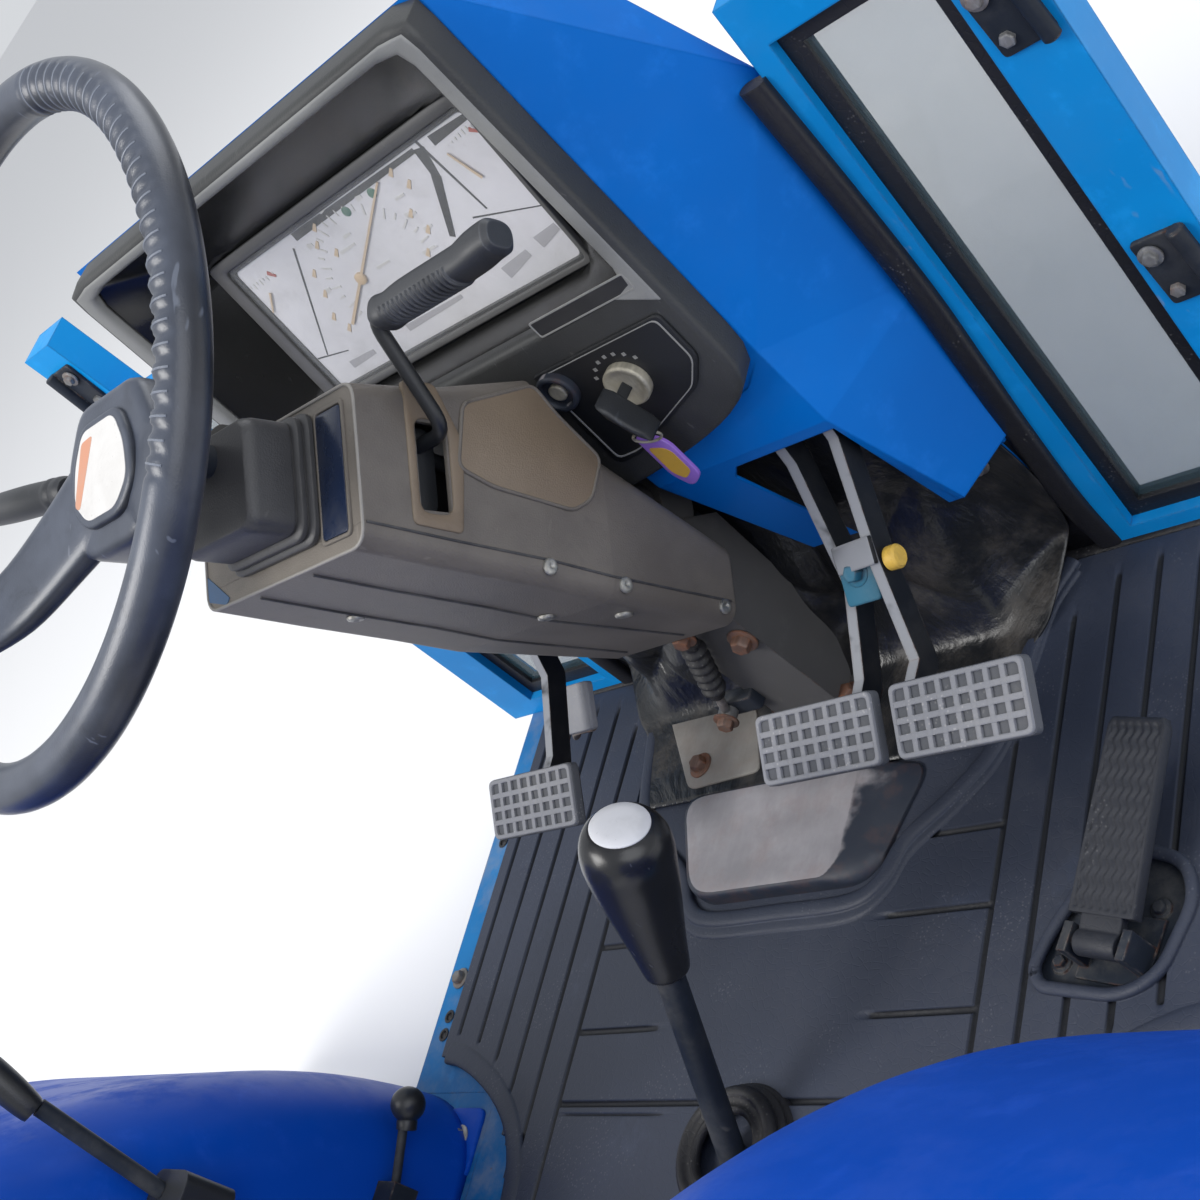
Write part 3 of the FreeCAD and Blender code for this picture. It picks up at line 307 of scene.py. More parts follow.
@dataclass(frozen=True)
class Plastic(Finish):
    """Moulded plastic with a fine grain, sun fading and a painted sky highlight on what faces up, and pale scuffs."""

    name: str
    colour: Colour
    faded: Colour
    scuff: Colour = (0.30, 0.30, 0.29)
    gloss: float = 0.45
    grain: float = 850.0
    depth: float = 0.00012
    wear: float = 0.35
    top_fade_and_sheen: float = 0.6
    corner: float = 0.0012

    def dress(self, tree: Tree) -> None:
        """Clouded colour that lightens upwards, partly sun fade and partly a painted sky highlight, a cell-like grain,
        rubbed edges and scratches.
        """
        cloud = tree.noise(11.0, 5.0, 0.6)
        # Painted light: what faces up is blended towards the faded colour, part sun fade and part painted sky
        # highlight.
        sun_fade_and_sky_sheen = tree.upward().rise(-0.1, 0.95) * 0.6 + cloud.rise(0.35, 0.75) * 0.5
        body = tree.mix((sun_fade_and_sky_sheen * self.top_fade_and_sheen).least(1.0), self.colour, self.faded)
        stain = tree.noise(48.0, 5.0, 0.7, None, 0.6).rise(0.55, 0.8) * 0.35
        body = tree.mix(stain, body, tuple(c * 0.55 for c in self.colour))
        rub = tree.edges(self.corner * 1.5).rise(0.03, 0.25) * tree.noise(40.0, 3.0).rise(0.35, 0.65)
        lines = tree.noise(260.0, 2.0, 0.5, tree.stretched((1.0, 0.1, 0.3), (0.4, 0.2, 0.7))).rise(0.70, 0.76)
        mark = (rub + lines * 0.4) * self.wear
        grain = tree.cells(self.grain)
        tree.feed(base_color=tree.mix(mark.least(1.0), body, self.scuff),
                  roughness=(cloud * 0.22 + (self.gloss - 0.1) + mark * 0.2).least(0.95),
                  ior=1.47)
        tree.bump(grain * 0.8 + tree.noise(30.0, 2.0) * 0.7, self.depth, radius=self.corner * 1.5)


@dataclass(frozen=True)
class Rubber(Finish):
    """Old rubber: dull, dusty in its hollows and rubbed shiny where feet go."""

    name: str
    colour: Colour
    dust: Colour
    rubbed: Colour
    dustiness: float = 0.5
    gloss: float = 0.62
    crack: float = 0.0002
    groove_shade_below: float = 0.0

    def dress(self, tree: Tree) -> None:
        """Two clouds of dust, rubbed patches, grit and a fine cracked surface, and painted shade that darkens the
        grooves.
        """
        cloud = tree.noise(6.5, 6.0, 0.68, None, 0.4)
        grit = tree.noise(210.0, 4.0, 0.8)
        flat = tree.upward().rise(0.2, 0.98)
        dust = cloud.rise(0.40, 0.68) * (grit.rise(0.30, 0.72) * 0.7 + 0.3) * (flat * 0.75 + 0.25)
        body = tree.mix(tree.noise(3.2, 3.0).rise(0.35, 0.7), self.colour, tuple(c * 1.5 for c in self.colour))
        body = tree.mix(dust * self.dustiness, body, self.dust)
        edge = tree.edges(0.0016).rise(0.04, 0.3) * tree.noise(30.0, 4.0).rise(0.35, 0.6)
        rub = (edge + tree.noise(14.0, 5.0, 0.7).rise(0.6, 0.74) * flat * 0.5).least(1.0)
        specks = tree.cells(330.0).rise(0.30, 0.12) * tree.noise(24.0, 2.0).rise(0.52, 0.62)
        body = tree.mix(rub * 0.55, body, self.rubbed)
        body = tree.mix(specks * 0.35, body, tuple(min(1.0, c * 1.5) for c in self.dust))
        # Painted shade: below the given height, in the grooves, the colour goes near black.
        if self.groove_shade_below:
            deep = tree.axis(2).rise(self.groove_shade_below, self.groove_shade_below - 0.0011)
            body = tree.mix(deep * 0.92, body, tuple(c * 0.15 for c in self.colour))
        tree.feed(base_color=body, roughness=(dust * 0.3 + self.gloss - rub * 0.12).least(0.97), ior=1.45)
        lines = tree.cells(150.0, "DISTANCE_TO_EDGE").rise(0.0, 0.08)
        tree.bump(grit * 0.5 + lines * 0.35 + cloud * 0.8, self.crack, radius=0.0016)


@dataclass(frozen=True)
class Vinyl(Finish):
    """Soft glossy vinyl with a leather grain, creases and dust in its folds."""

    name: str
    colour: Colour
    dust: Colour
    gloss: float = 0.27

    def dress(self, tree: Tree) -> None:
        """Near black with brown dust, wrinkles at three scales."""
        crease = tree.noise(9.0, 5.0, 0.55, tree.stretched((1.0, 1.0, 0.55)), 1.6)
        pore = tree.cells(620.0)
        dust = tree.noise(13.0, 6.0, 0.72).rise(0.46, 0.76)
        body = tree.mix(dust * 0.38, self.colour, self.dust)
        tree.feed(base_color=body, roughness=(dust * 0.4 + self.gloss + pore * 0.05).least(0.9), ior=1.5)
        tree.bump(crease * 1.0 + pore * 0.012 + tree.noise(34.0, 4.0, 0.5, None, 1.0) * 0.2, 0.006)


@dataclass(frozen=True)
class Bare(Finish):
    """Bare or nearly bare steel with brushed scratches, grime and rust."""

    name: str
    colour: Colour
    grime: Colour = (0.10, 0.095, 0.085)
    rust: Colour = (0.24, 0.09, 0.035)
    rustiness: float = 0.5
    gloss: float = 0.38
    shine: float = 0.75
    brushed: float = 1.0
    sides: Colour | None = None

    def dress(self, tree: Tree) -> None:
        """Scratched metal under clouds of grime, with rust at corners and in patches; its sloping sides can turn
        dark blue-black, part old paint and part painted shade."""
        cloud = tree.noise(21.0, 6.0, 0.65)
        scratch = tree.noise(330.0, 3.0, 0.6, tree.stretched((1.0, 0.06, 0.5), (0.0, 0.3, 0.5)))
        scratch = scratch * self.brushed + tree.noise(13.0, 5.0, 0.6) * (1.0 - self.brushed)
        grime = cloud.rise(0.42, 0.72) * 0.8
        edge = tree.edges(0.002).rise(0.03, 0.3)
        patch = tree.noise(36.0, 5.0, 0.7).rise(0.48, 0.64) * self.rustiness
        rust = ((edge * 0.8 + 0.25) * patch).least(1.0)
        body = tree.mix(grime, tree.mix(scratch.rise(0.4, 0.7), tuple(c * 0.7 for c in self.colour), self.colour),
                        self.grime)
        metal = (1.0 - grime) * (1.0 - rust) * self.shine
        # Dark blue-black on faces that do not face straight up: part old paint, part painted shade.
        if self.sides:
            kept = (tree.upward() + tree.noise(60.0, 3.0) * 0.03).rise(1.004, 0.988)
            body = tree.mix(kept, body, self.sides)
            metal = metal * (1.0 - kept)
        tree.feed(base_color=tree.mix(rust, body, self.rust), metallic=metal.most(0.0),
                  roughness=(scratch * 0.25 + grime * 0.3 + rust * 0.4 + (self.gloss - 0.12)).least(0.95))
        tree.bump(scratch * 0.4 + cloud * 0.6 + patch * 0.3, 0.00025, radius=0.002)


@dataclass(frozen=True)
class Glazing(Finish):
    """Clear glass or lens: mostly see-through, milky with dust, brighter at a glance."""

    name: str
    colour: Colour
    cover: float
    glance: float
    dust: float

    def dress(self, tree: Tree) -> None:
        """Alpha from the facing angle plus a film of dust."""
        facing = tree.node("ShaderNodeLayerWeight", {}, {"Blend": 0.35}, "Facing")
        film = tree.noise(19.0, 6.0, 0.7).rise(0.35, 0.75) * self.dust
        alpha = (facing * self.glance + film + self.cover).least(1.0)
        tree.feed(base_color=tree.mix(film, self.colour, (0.55, 0.55, 0.53)), roughness=film * 0.8 + 0.04,
                  alpha=alpha, ior=1.52)


@dataclass(frozen=True)
class Printed(Finish):
    """A matt printed sheet or sticker, a little dirty."""

    name: str
    colour: Colour
    dirt: Colour
    dirtiness: float = 0.3
    gloss: float = 0.5
    glow: float = 0.0

    def dress(self, tree: Tree) -> None:
        """Even ink with smudges and dust specks."""
        smudge = tree.noise(26.0, 5.0, 0.65, None, 0.5).rise(0.45, 0.75)
        speck = tree.noise(400.0, 2.0).rise(0.68, 0.75)
        dirt = ((smudge + speck) * self.dirtiness).least(1.0)
        body = tree.mix(dirt, self.colour, self.dirt)
        tree.feed(base_color=body, roughness=dirt * 0.3 + self.gloss)
        if self.glow > 0:
            tree.feed(emission_color=body, emission_strength=self.glow)
        tree.bump(tree.noise(300.0, 2.0), 0.00003)


BLUE_COWL = Paint("cowl_blue", (0.001, 0.155, 0.57), (0.001, 0.130, 0.50), dustiness=0.03, chips=0.0, gloss=0.34,
                  shine=0.10, scuffs=0.0)
BLUE_FENDER = Paint("fender_blue", (0.001, 0.062, 0.42), (0.001, 0.056, 0.39), dustiness=0.02, chips=0.0, gloss=0.36,
                    shine=0.12, scuffs=0.05)
BLUE_FRAME = Paint("frame_azure", (0.002, 0.290, 0.70), (0.002, 0.215, 0.56), dustiness=0.06, chips=0.35, gloss=0.36,
                   shine=0.18)
BLUE_DECK = Paint("deck_blue", (0.010, 0.185, 0.46), (0.006, 0.100, 0.28), dustiness=0.4, chips=0.8, gloss=0.42)
LATCH_TEAL = Paint("latch_teal", (0.030, 0.210, 0.330), (0.03, 0.13, 0.20), dustiness=0.4, chips=0.8, gloss=0.45)
STEEL_DARK = Paint("steel_dark", (0.022, 0.028, 0.040), (0.014, 0.018, 0.026), chip=(0.34, 0.32, 0.29),
                   dust=(0.20, 0.19, 0.17), dustiness=0.35, chips=0.8, gloss=0.40)
MAST_GREY = Paint("mast_grey", (0.100, 0.098, 0.098), (0.075, 0.074, 0.076), chip=(0.34, 0.32, 0.29),
                  dust=(0.20, 0.19, 0.17), dustiness=0.25, chips=0.6, gloss=0.45)
# The arms' pale front edges are part worn bare metal and part painted highlight.
STEEL_ARM = Paint("steel_arm", (0.014, 0.016, 0.020), (0.009, 0.010, 0.013), chip=(0.34, 0.32, 0.29),
                  dust=(0.20, 0.19, 0.17), dustiness=0.2, chips=0.7, gloss=0.40, bare_and_highlit_front=0.9)
# The hump cover's dark sloping sides are part old paint and part painted shade.
STEEL_COVER = Bare("steel_cover", (0.38, 0.365, 0.385), grime=(0.21, 0.20, 0.215), rustiness=0.35, gloss=0.46,
                   shine=0.30, brushed=0.12, sides=(0.020, 0.026, 0.040))
TOE_STEEL = Bare("toe_steel", (0.33, 0.31, 0.285), grime=(0.22, 0.205, 0.185), rustiness=0.30, gloss=0.48,
                 shine=0.25, brushed=0.1)
STEEL_WORN = Bare("steel_worn", (0.34, 0.34, 0.34), rustiness=0.6)
STEEL_BRIGHT = Bare("steel_bright", (0.55, 0.54, 0.50), rustiness=0.15, gloss=0.30, shine=0.85)
RUSTY = Bare("steel_rusty", (0.20, 0.12, 0.09), rust=(0.26, 0.085, 0.03), rustiness=1.6, shine=0.3)
NICKEL = Bare("nickel_old", (0.62, 0.58, 0.47), grime=(0.36, 0.33, 0.26), rustiness=0.05, gloss=0.36, shine=0.7)
# The mat's grooves, below 58.8 mm, get painted shade.
MAT = Rubber("mat_rubber", (0.022, 0.028, 0.046), (0.088, 0.090, 0.102), (0.052, 0.068, 0.110), 0.20, 0.50,
             groove_shade_below=0.0588)
PAD = Rubber("pad_rubber", (0.20, 0.205, 0.225), (0.36, 0.35, 0.34), (0.38, 0.39, 0.42), 0.5, 0.72)
PAD_SUNK = Rubber("pad_sunk", (0.075, 0.080, 0.092), (0.20, 0.195, 0.19), (0.14, 0.145, 0.16), 0.5, 0.72)
TREAD = Rubber("tread_rubber", (0.014, 0.016, 0.022), (0.10, 0.098, 0.10), (0.060, 0.068, 0.085), 0.16, 0.5)
# Pale bluish lines on the crowns of the rim's ridges: painted highlights.
WHEEL_RIDGE_HIGHLIGHT = Plastic("wheel_ridge_highlight", (0.17, 0.19, 0.235), (0.28, 0.31, 0.375), (0.36, 0.38, 0.42), 0.36, 1100.0,
                     0.00006, 0.5, 0.75)
BOOT = Rubber("boot_rubber", (0.008, 0.008, 0.010), (0.10, 0.095, 0.09), (0.03, 0.03, 0.035), 0.3, 0.5)
SEAL = Rubber("seal_rubber", (0.007, 0.007, 0.009), (0.12, 0.115, 0.11), (0.02, 0.02, 0.024), 0.25, 0.42)
BUMPER = Printed("bumper_yellow", (0.74, 0.47, 0.075), (0.16, 0.10, 0.04), 0.5, 0.5)
LINER = Vinyl("liner_vinyl", (0.010, 0.011, 0.013), (0.14, 0.12, 0.10))
# The wheel's bluish faded colour on what faces up is mostly a painted sky highlight.
WHEEL_SKIN = Plastic("wheel_skin", (0.016, 0.018, 0.024), (0.105, 0.122, 0.165), (0.24, 0.27, 0.34), 0.30, 1100.0,
                     0.00006, 0.8, 0.75)
# A pale band on the top of the pod's rim: painted highlight.
POD_HIGHLIGHT = Plastic("pod_highlight_band", (0.200, 0.203, 0.200), (0.330, 0.335, 0.330), (0.42, 0.42, 0.41), 0.46, 760.0,
                   0.00012, 0.3, 0.7)
# The pod rim's faded colour on what faces up is a painted sky highlight, and its pale scuff colour at the edges is a
# painted edge highlight.
POD_SKIN = Plastic("pod_skin", (0.030, 0.031, 0.032), (0.072, 0.075, 0.077), (0.24, 0.24, 0.235), 0.46, 760.0,
                   0.00015, 0.5, 0.5)
POD_INNER = Plastic("pod_inner", (0.010, 0.0105, 0.011), (0.020, 0.020, 0.020), (0.08, 0.08, 0.08), 0.20, 900.0,
                    0.00004, 0.2, 0.4)
BEZEL = Plastic("bezel_grey", (0.100, 0.100, 0.102), (0.165, 0.165, 0.168), (0.26, 0.26, 0.26), 0.36, 900.0,
                0.00006, 0.3, 0.6)
COLUMN_SKIN = Plastic("column_skin", (0.120, 0.106, 0.094), (0.24, 0.215, 0.185), (0.33, 0.30, 0.26), 0.46, 900.0,
                      0.00016, 0.5, 0.8)
# The pale ring round the column's end face: painted highlight.
COLUMN_RIM_HIGHLIGHT = Plastic("column_rim_highlight", (0.26, 0.245, 0.225), (0.36, 0.34, 0.32), (0.42, 0.40, 0.38), 0.44, 900.0,
                      0.00012, 0.4, 0.8)
COLUMN_TAN = Plastic("column_tan", (0.185, 0.140, 0.098), (0.27, 0.215, 0.155), (0.34, 0.29, 0.22), 0.44, 900.0,
                     0.00014, 0.5, 0.8)
COLLAR_SKIN = Plastic("collar_skin", (0.040, 0.040, 0.043), (0.090, 0.089, 0.092), (0.28, 0.27, 0.26), 0.42, 900.0,
                      0.00014, 0.5, 0.8)
BLACK_SKIN = Plastic("black_skin", (0.010, 0.011, 0.013), (0.035, 0.038, 0.044), (0.13, 0.14, 0.16), 0.36, 1000.0,
                     0.00008, 0.5, 0.5)
GRIP_SKIN = Plastic("grip_skin", (0.016, 0.0175, 0.021), (0.050, 0.053, 0.060), (0.20, 0.21, 0.23), 0.44, 1000.0,
                    0.00008, 0.7, 0.8)
KNOB_SKIN = Plastic("knob_skin", (0.010, 0.0105, 0.012), (0.024, 0.025, 0.029), (0.12, 0.13, 0.16), 0.24, 1200.0,
                    0.00004, 0.5, 0.5)
PANEL_SKIN = Plastic("panel_skin", (0.009, 0.010, 0.012), (0.020, 0.022, 0.026), (0.09, 0.09, 0.09), 0.42, 900.0,
                     0.00006, 0.3, 0.4)
DIAL = Printed("dial_sheet", (0.70, 0.695, 0.73), (0.42, 0.41, 0.42), 0.35, 0.45)
DIAL_DARK = Printed("dial_dark", (0.030, 0.031, 0.034), (0.07, 0.07, 0.07), 0.3, 0.4)
DIAL_GREY = Printed("dial_grey", (0.40, 0.395, 0.42), (0.3, 0.3, 0.3), 0.3, 0.45)
INK_WHITE = Printed("ink_white", (0.62, 0.61, 0.60), (0.40, 0.39, 0.37), 0.3, 0.5)
INK_GREY = Printed("ink_grey", (0.27, 0.27, 0.26), (0.17, 0.17, 0.16), 0.4, 0.5)
INK_CREAM = Printed("ink_cream", (0.62, 0.48, 0.33), (0.40, 0.32, 0.22), 0.2, 0.5)
INK_GREEN = Printed("ink_green", (0.05, 0.16, 0.105), (0.10, 0.14, 0.11), 0.3, 0.3)
INK_RED = Printed("ink_red", (0.42, 0.10, 0.08), (0.2, 0.1, 0.1), 0.3, 0.4)
STICKER_WHITE = Printed("sticker_white", (0.66, 0.65, 0.64), (0.40, 0.38, 0.36), 0.3, 0.45)
STICKER_ORANGE = Printed("sticker_orange", (0.58, 0.27, 0.17), (0.46, 0.34, 0.28), 0.4, 0.45)
CAP_WHITE = Printed("cap_white", (0.66, 0.665, 0.70), (0.30, 0.30, 0.31), 0.3, 0.42)
TAG_PURPLE = Printed("tag_purple", (0.26, 0.13, 0.52), (0.2, 0.14, 0.3), 0.2, 0.3)
TAG_YELLOW = Printed("tag_yellow", (0.56, 0.33, 0.045), (0.3, 0.22, 0.1), 0.5, 0.4)
PLATE_NAVY = Printed("plate_navy", (0.012, 0.022, 0.055), (0.05, 0.055, 0.07), 0.4, 0.26)
PAINT_BLUE_TAB = Printed("tab_blue", (0.05, 0.12, 0.24), (0.16, 0.16, 0.15), 0.5, 0.4)
LENS = Glazing("lens_clear", (0.70, 0.72, 0.74), 0.03, 0.18, 0.05)
GLASS = Glazing("window_glass", (0.05, 0.105, 0.13), 0.34, 0.30, 0.02)


# Surfaces


@dataclass
class Skin:
    """Points in mm and the faces between them."""

    points: np.ndarray
    faces: list[tuple[int, ...]]

    def joined(self, *others: "Skin") -> "Skin":
        """One skin with the points and faces of all."""
        points, faces = [self.points], list(self.faces)
        count = len(self.points)
        for other in others:
            faces += [tuple(i + count for i in face) for face in other.faces]
            points.append(other.points)
            count += len(other.points)
        return Skin(np.concatenate(points), faces)

    def moved(self, turn: np.ndarray, shift: Sequence[float]) -> "Skin":
        """The skin with its points times a 3 by 3 matrix, plus a shift."""
        return Skin(self.points @ np.asarray(turn).T + np.asarray(shift), self.faces)

    def mirrored(self) -> "Skin":
        """The skin reflected in X, with its faces turned to point outwards again."""
        return Skin(self.points * np.array([-1.0, 1.0, 1.0]), [face[::-1] for face in self.faces])


def grid_skin(grid: np.ndarray, wrap_u: bool = False, wrap_v: bool = False) -> Skin:
    """A skin of quads over a grid of points.

    Args:
        grid: Points by row and column, shape (rows, columns, 3).
        wrap_u: Whether the last row meets the first.
        wrap_v: Whether the last column meets the first.

    Returns:
        The open or closed skin.
    """
    rows, columns = grid.shape[:2]
    index = np.arange(rows * columns).reshape(rows, columns)
    if wrap_u:
        index = np.concatenate([index, index[:1]], 0)
    if wrap_v:
        index = np.concatenate([index, index[:, :1]], 1)
    quads = np.stack([index[:-1, :-1], index[:-1, 1:], index[1:, 1:], index[1:, :-1]], -1).reshape(-1, 4)
    return Skin(grid.reshape(-1, 3), [tuple(q) for q in quads.tolist()])


def tube_skin(rings: np.ndarray) -> Skin:
    """A closed skin over rings of points, with a flat lid on the first and the last ring."""
    body = grid_skin(rings, wrap_v=True)
    rows, columns = rings.shape[:2]
    first, last = tuple(range(columns))[::-1], tuple(range((rows - 1) * columns, rows * columns))
    return Skin(body.points, [face[::-1] for face in body.faces] + [last, first])


def frames_along(path: np.ndarray, guide: Sequence[float]) -> tuple[np.ndarray, np.ndarray]:
    """Side and up directions at each point of a path: cross products of its tangent with a guide direction."""
    tangent = np.gradient(path, axis=0)
    tangent /= np.linalg.norm(tangent, axis=1, keepdims=True)
    side = np.cross(tangent, np.asarray(guide, float))
    side /= np.linalg.norm(side, axis=1, keepdims=True)
    return side, np.cross(side, tangent)


def sweep(path: np.ndarray, radius: Any, guide: Sequence[float] = (0.0, 0.0, 1.0), sides: int = 16,
          flat: float = 1.0, power: float = 2.0) -> Skin:
    """Carry a superellipse along a path.

    A point is path + side * r * c + up * r * flat * s, where c and s are the cosine and sine to the
    power of 2 / power, with their signs kept.

    Args:
        path: Points in mm.
        radius: One radius or one for each point.
        guide: A direction that the path never runs along.
        sides: Points around.
        flat: Height of the section over its width.
        power: 2 for a circle, more for a rounded box.

    Returns:
        A closed skin with lids.
    """
    side, up = frames_along(path, guide)
    angle = np.linspace(0, 2 * np.pi, sides, endpoint=False)
    c, s = np.cos(angle), np.sin(angle)
    c = np.sign(c) * np.abs(c) ** (2 / power)
    s = np.sign(s) * np.abs(s) ** (2 / power)
    r = np.broadcast_to(np.asarray(radius, float), (len(path),))[:, None, None]
    rings = path[:, None] + r * (side[:, None] * c[:, None] + up[:, None] * s[:, None] * flat)
    return tube_skin(rings)


def lathe(profile: Sequence[tuple[float, float]], sides: int = 32) -> Skin:
    """Turn a profile of radius and height about Z: x = r cos a, y = r sin a."""
    r, z = np.array(profile, float).T
    angle = np.linspace(0, 2 * np.pi, sides, endpoint=False)
    rings = np.stack([r[:, None] * np.cos(angle), r[:, None] * np.sin(angle),
                      np.broadcast_to(z[:, None], (len(r), sides))], -1)
    return tube_skin(rings)


def smooth_line(points: Sequence[Sequence[float]], per: int = 8, tight: float = 0.5) -> np.ndarray:
    """A Catmull-Rom line through points: each stretch is a cubic whose end slopes are tight times the chord of
    the neighbours."""
    p = np.asarray(points, float)
    p = np.concatenate([2 * p[:1] - p[1:2], p, 2 * p[-1:] - p[-2:-1]])
    t = np.linspace(0, 1, per, endpoint=False)[:, None]
    a, b, c, d = p[:-3, None], p[1:-2, None], p[2:-1, None], p[3:, None]
    m0, m1 = tight * (c - a), tight * (d - b)
    line = ((2 * t**3 - 3 * t**2 + 1) * b + (t**3 - 2 * t**2 + t) * m0
            + (3 * t**2 - 2 * t**3) * c + (t**3 - t**2) * m1)
    return np.concatenate([line.reshape(-1, p.shape[1]), p[-2:-1]])


def bent_line(points: Sequence[Sequence[float]], radius: float, per: int = 7) -> np.ndarray:
    """Straight runs whose corners are rounded by quadratic curves that start a radius before the corner."""
    p = np.asarray(points, float)
    chord = p[1:] - p[:-1]
    length = np.linalg.norm(chord, axis=1, keepdims=True)
    way = chord / length
    cut = np.minimum(radius, 0.45 * np.minimum(length[:-1], length[1:]))
    start, end = p[1:-1] - way[:-1] * cut, p[1:-1] + way[1:] * cut
    t = np.linspace(0, 1, per)[None, :, None]
    arcs = (1 - t) ** 2 * start[:, None] + 2 * t * (1 - t) * p[1:-1, None] + t**2 * end[:, None]
    return np.concatenate([p[:1], arcs.reshape(-1, p.shape[1]), p[-1:]])


def rounded_outline(corners: Sequence[Sequence[float]], radius: float, per: int = 6) -> np.ndarray:
    """A closed outline whose corners are quadratic curves that start a radius before each corner."""
    p = np.asarray(corners, float)
    back, ahead = np.roll(p, 1, 0) - p, np.roll(p, -1, 0) - p
    lb, la = (np.linalg.norm(v, axis=1, keepdims=True) for v in (back, ahead))
    cut = np.minimum(radius, 0.49 * np.minimum(lb, la))
    start, end = p + back / lb * cut, p + ahead / la * cut
    t = np.linspace(0, 1, per)[None, :, None]
    arcs = (1 - t) ** 2 * start[:, None] + 2 * t * (1 - t) * p[:, None] + t**2 * end[:, None]
    return arcs.reshape(-1, 2)


def slab(outline: np.ndarray, low: float, high: float, round_off: float = 0.0) -> Skin:
    """A plate over a closed outline in X and Y, from low to high, whose top edge is rounded by rings that shrink
    towards the outline's middle as a quarter circle does."""
    middle = outline.mean(0)
    reach = np.linalg.norm(outline - middle, axis=1).mean()
    turns = np.linspace(0, np.pi / 2, 4) if round_off > 0 else np.zeros(1)
    inset = round_off * (1 - np.cos(turns)) / reach
    height = high - round_off + round_off * np.sin(turns)
    rings = [np.column_stack([outline, np.full(len(outline), low)])]
    rings += [np.column_stack([middle + (outline - middle) * (1 - i), np.full(len(outline), h)])
              for i, h in zip(inset, height)]
    return tube_skin(np.array(rings))


def ring_slab(outer: np.ndarray, inner: np.ndarray, low: float, high: float, lip: float = 0.6) -> Skin:
    """A flat ring between two outlines with as many points, with small chamfers on its upper edges."""
    middle = (outer + inner) / 2
    rows = []
    for base, z in ((outer, low), (outer, high - lip), (outer + (middle - outer) * 0.25, high),
                    (inner + (middle - inner) * 0.25, high), (inner, high - lip), (inner, low)):
        rows.append(np.column_stack([base, np.full(len(base), z)]))
    body = grid_skin(np.array(rows), wrap_u=True, wrap_v=True)
    return Skin(body.points, [face[::-1] for face in body.faces])


def box(x0: float, x1: float, y0: float, y1: float, z0: float, z1: float, radius: float = 2.0,
        round_off: float = 1.0) -> Skin:
    """A block with rounded upright corners and a rounded top."""
    return slab(rounded_outline([(x0, y0), (x1, y0), (x1, y1), (x0, y1)], radius, 4), z0, z1, round_off)


def hexagon(radius: float, height: float, washer: float = 1.5) -> Skin:
    """A hexagon head with a chamfered crown on a round washer, standing on Z 0."""
    angle = np.linspace(0, 2 * np.pi, 6, endpoint=False)
    corners = np.column_stack([np.cos(angle), np.sin(angle)])
    rings = [np.column_stack([corners * radius * k, np.full(6, z)])
             for k, z in ((1.0, washer), (1.0, height - radius * 0.18), (0.86, height))]
    disc = lathe([(radius * 1.55, 0), (radius * 1.55, washer * 0.8), (radius * 1.45, washer)], 20)
    return tube_skin(np.array(rings)).joined(disc)


def screw(radius: float, height: float) -> Skin:
    """A round dished screw head, standing on Z 0."""
    head = lathe([(radius, 0), (radius, height * 0.4), (radius * 0.86, height * 0.8), (radius * 0.5, height),
                  (radius * 0.3, height * 0.9), (radius * 0.12, height * 0.55)], 20)
    return head


def facing(normal: Sequence[float], up: Sequence[float] = (0.0, 0.0, 1.0)) -> np.ndarray:
    """A 3 by 3 matrix that turns local Z to a normal and local Y as near as it goes to up."""
    z = np.asarray(normal, float)
    z = z / np.linalg.norm(z)
    x = np.cross(np.asarray(up, float), z)
    x /= np.linalg.norm(x)
    return np.column_stack([x, np.cross(z, x), z])


COLUMN_TURN = np.array([[1, 0, 0], [0, math.cos(TILT), -math.sin(TILT)], [0, math.sin(TILT), math.cos(TILT)]])


def on_column(skin: Skin) -> Skin:
    """Place a skin of the column's own frame: X across, Y up the wheel's plane, Z up the column."""
    return skin.moved(COLUMN_TURN, (0.0, WHEEL_Y, WHEEL_Z))


def smoothstep(x: np.ndarray, low: float, high: float) -> np.ndarray:
    """0 below low, 1 above high and 3 t^2 - 2 t^3 between."""
    t = np.clip((x - low) / (high - low), 0, 1)
    return t * t * (3 - 2 * t)


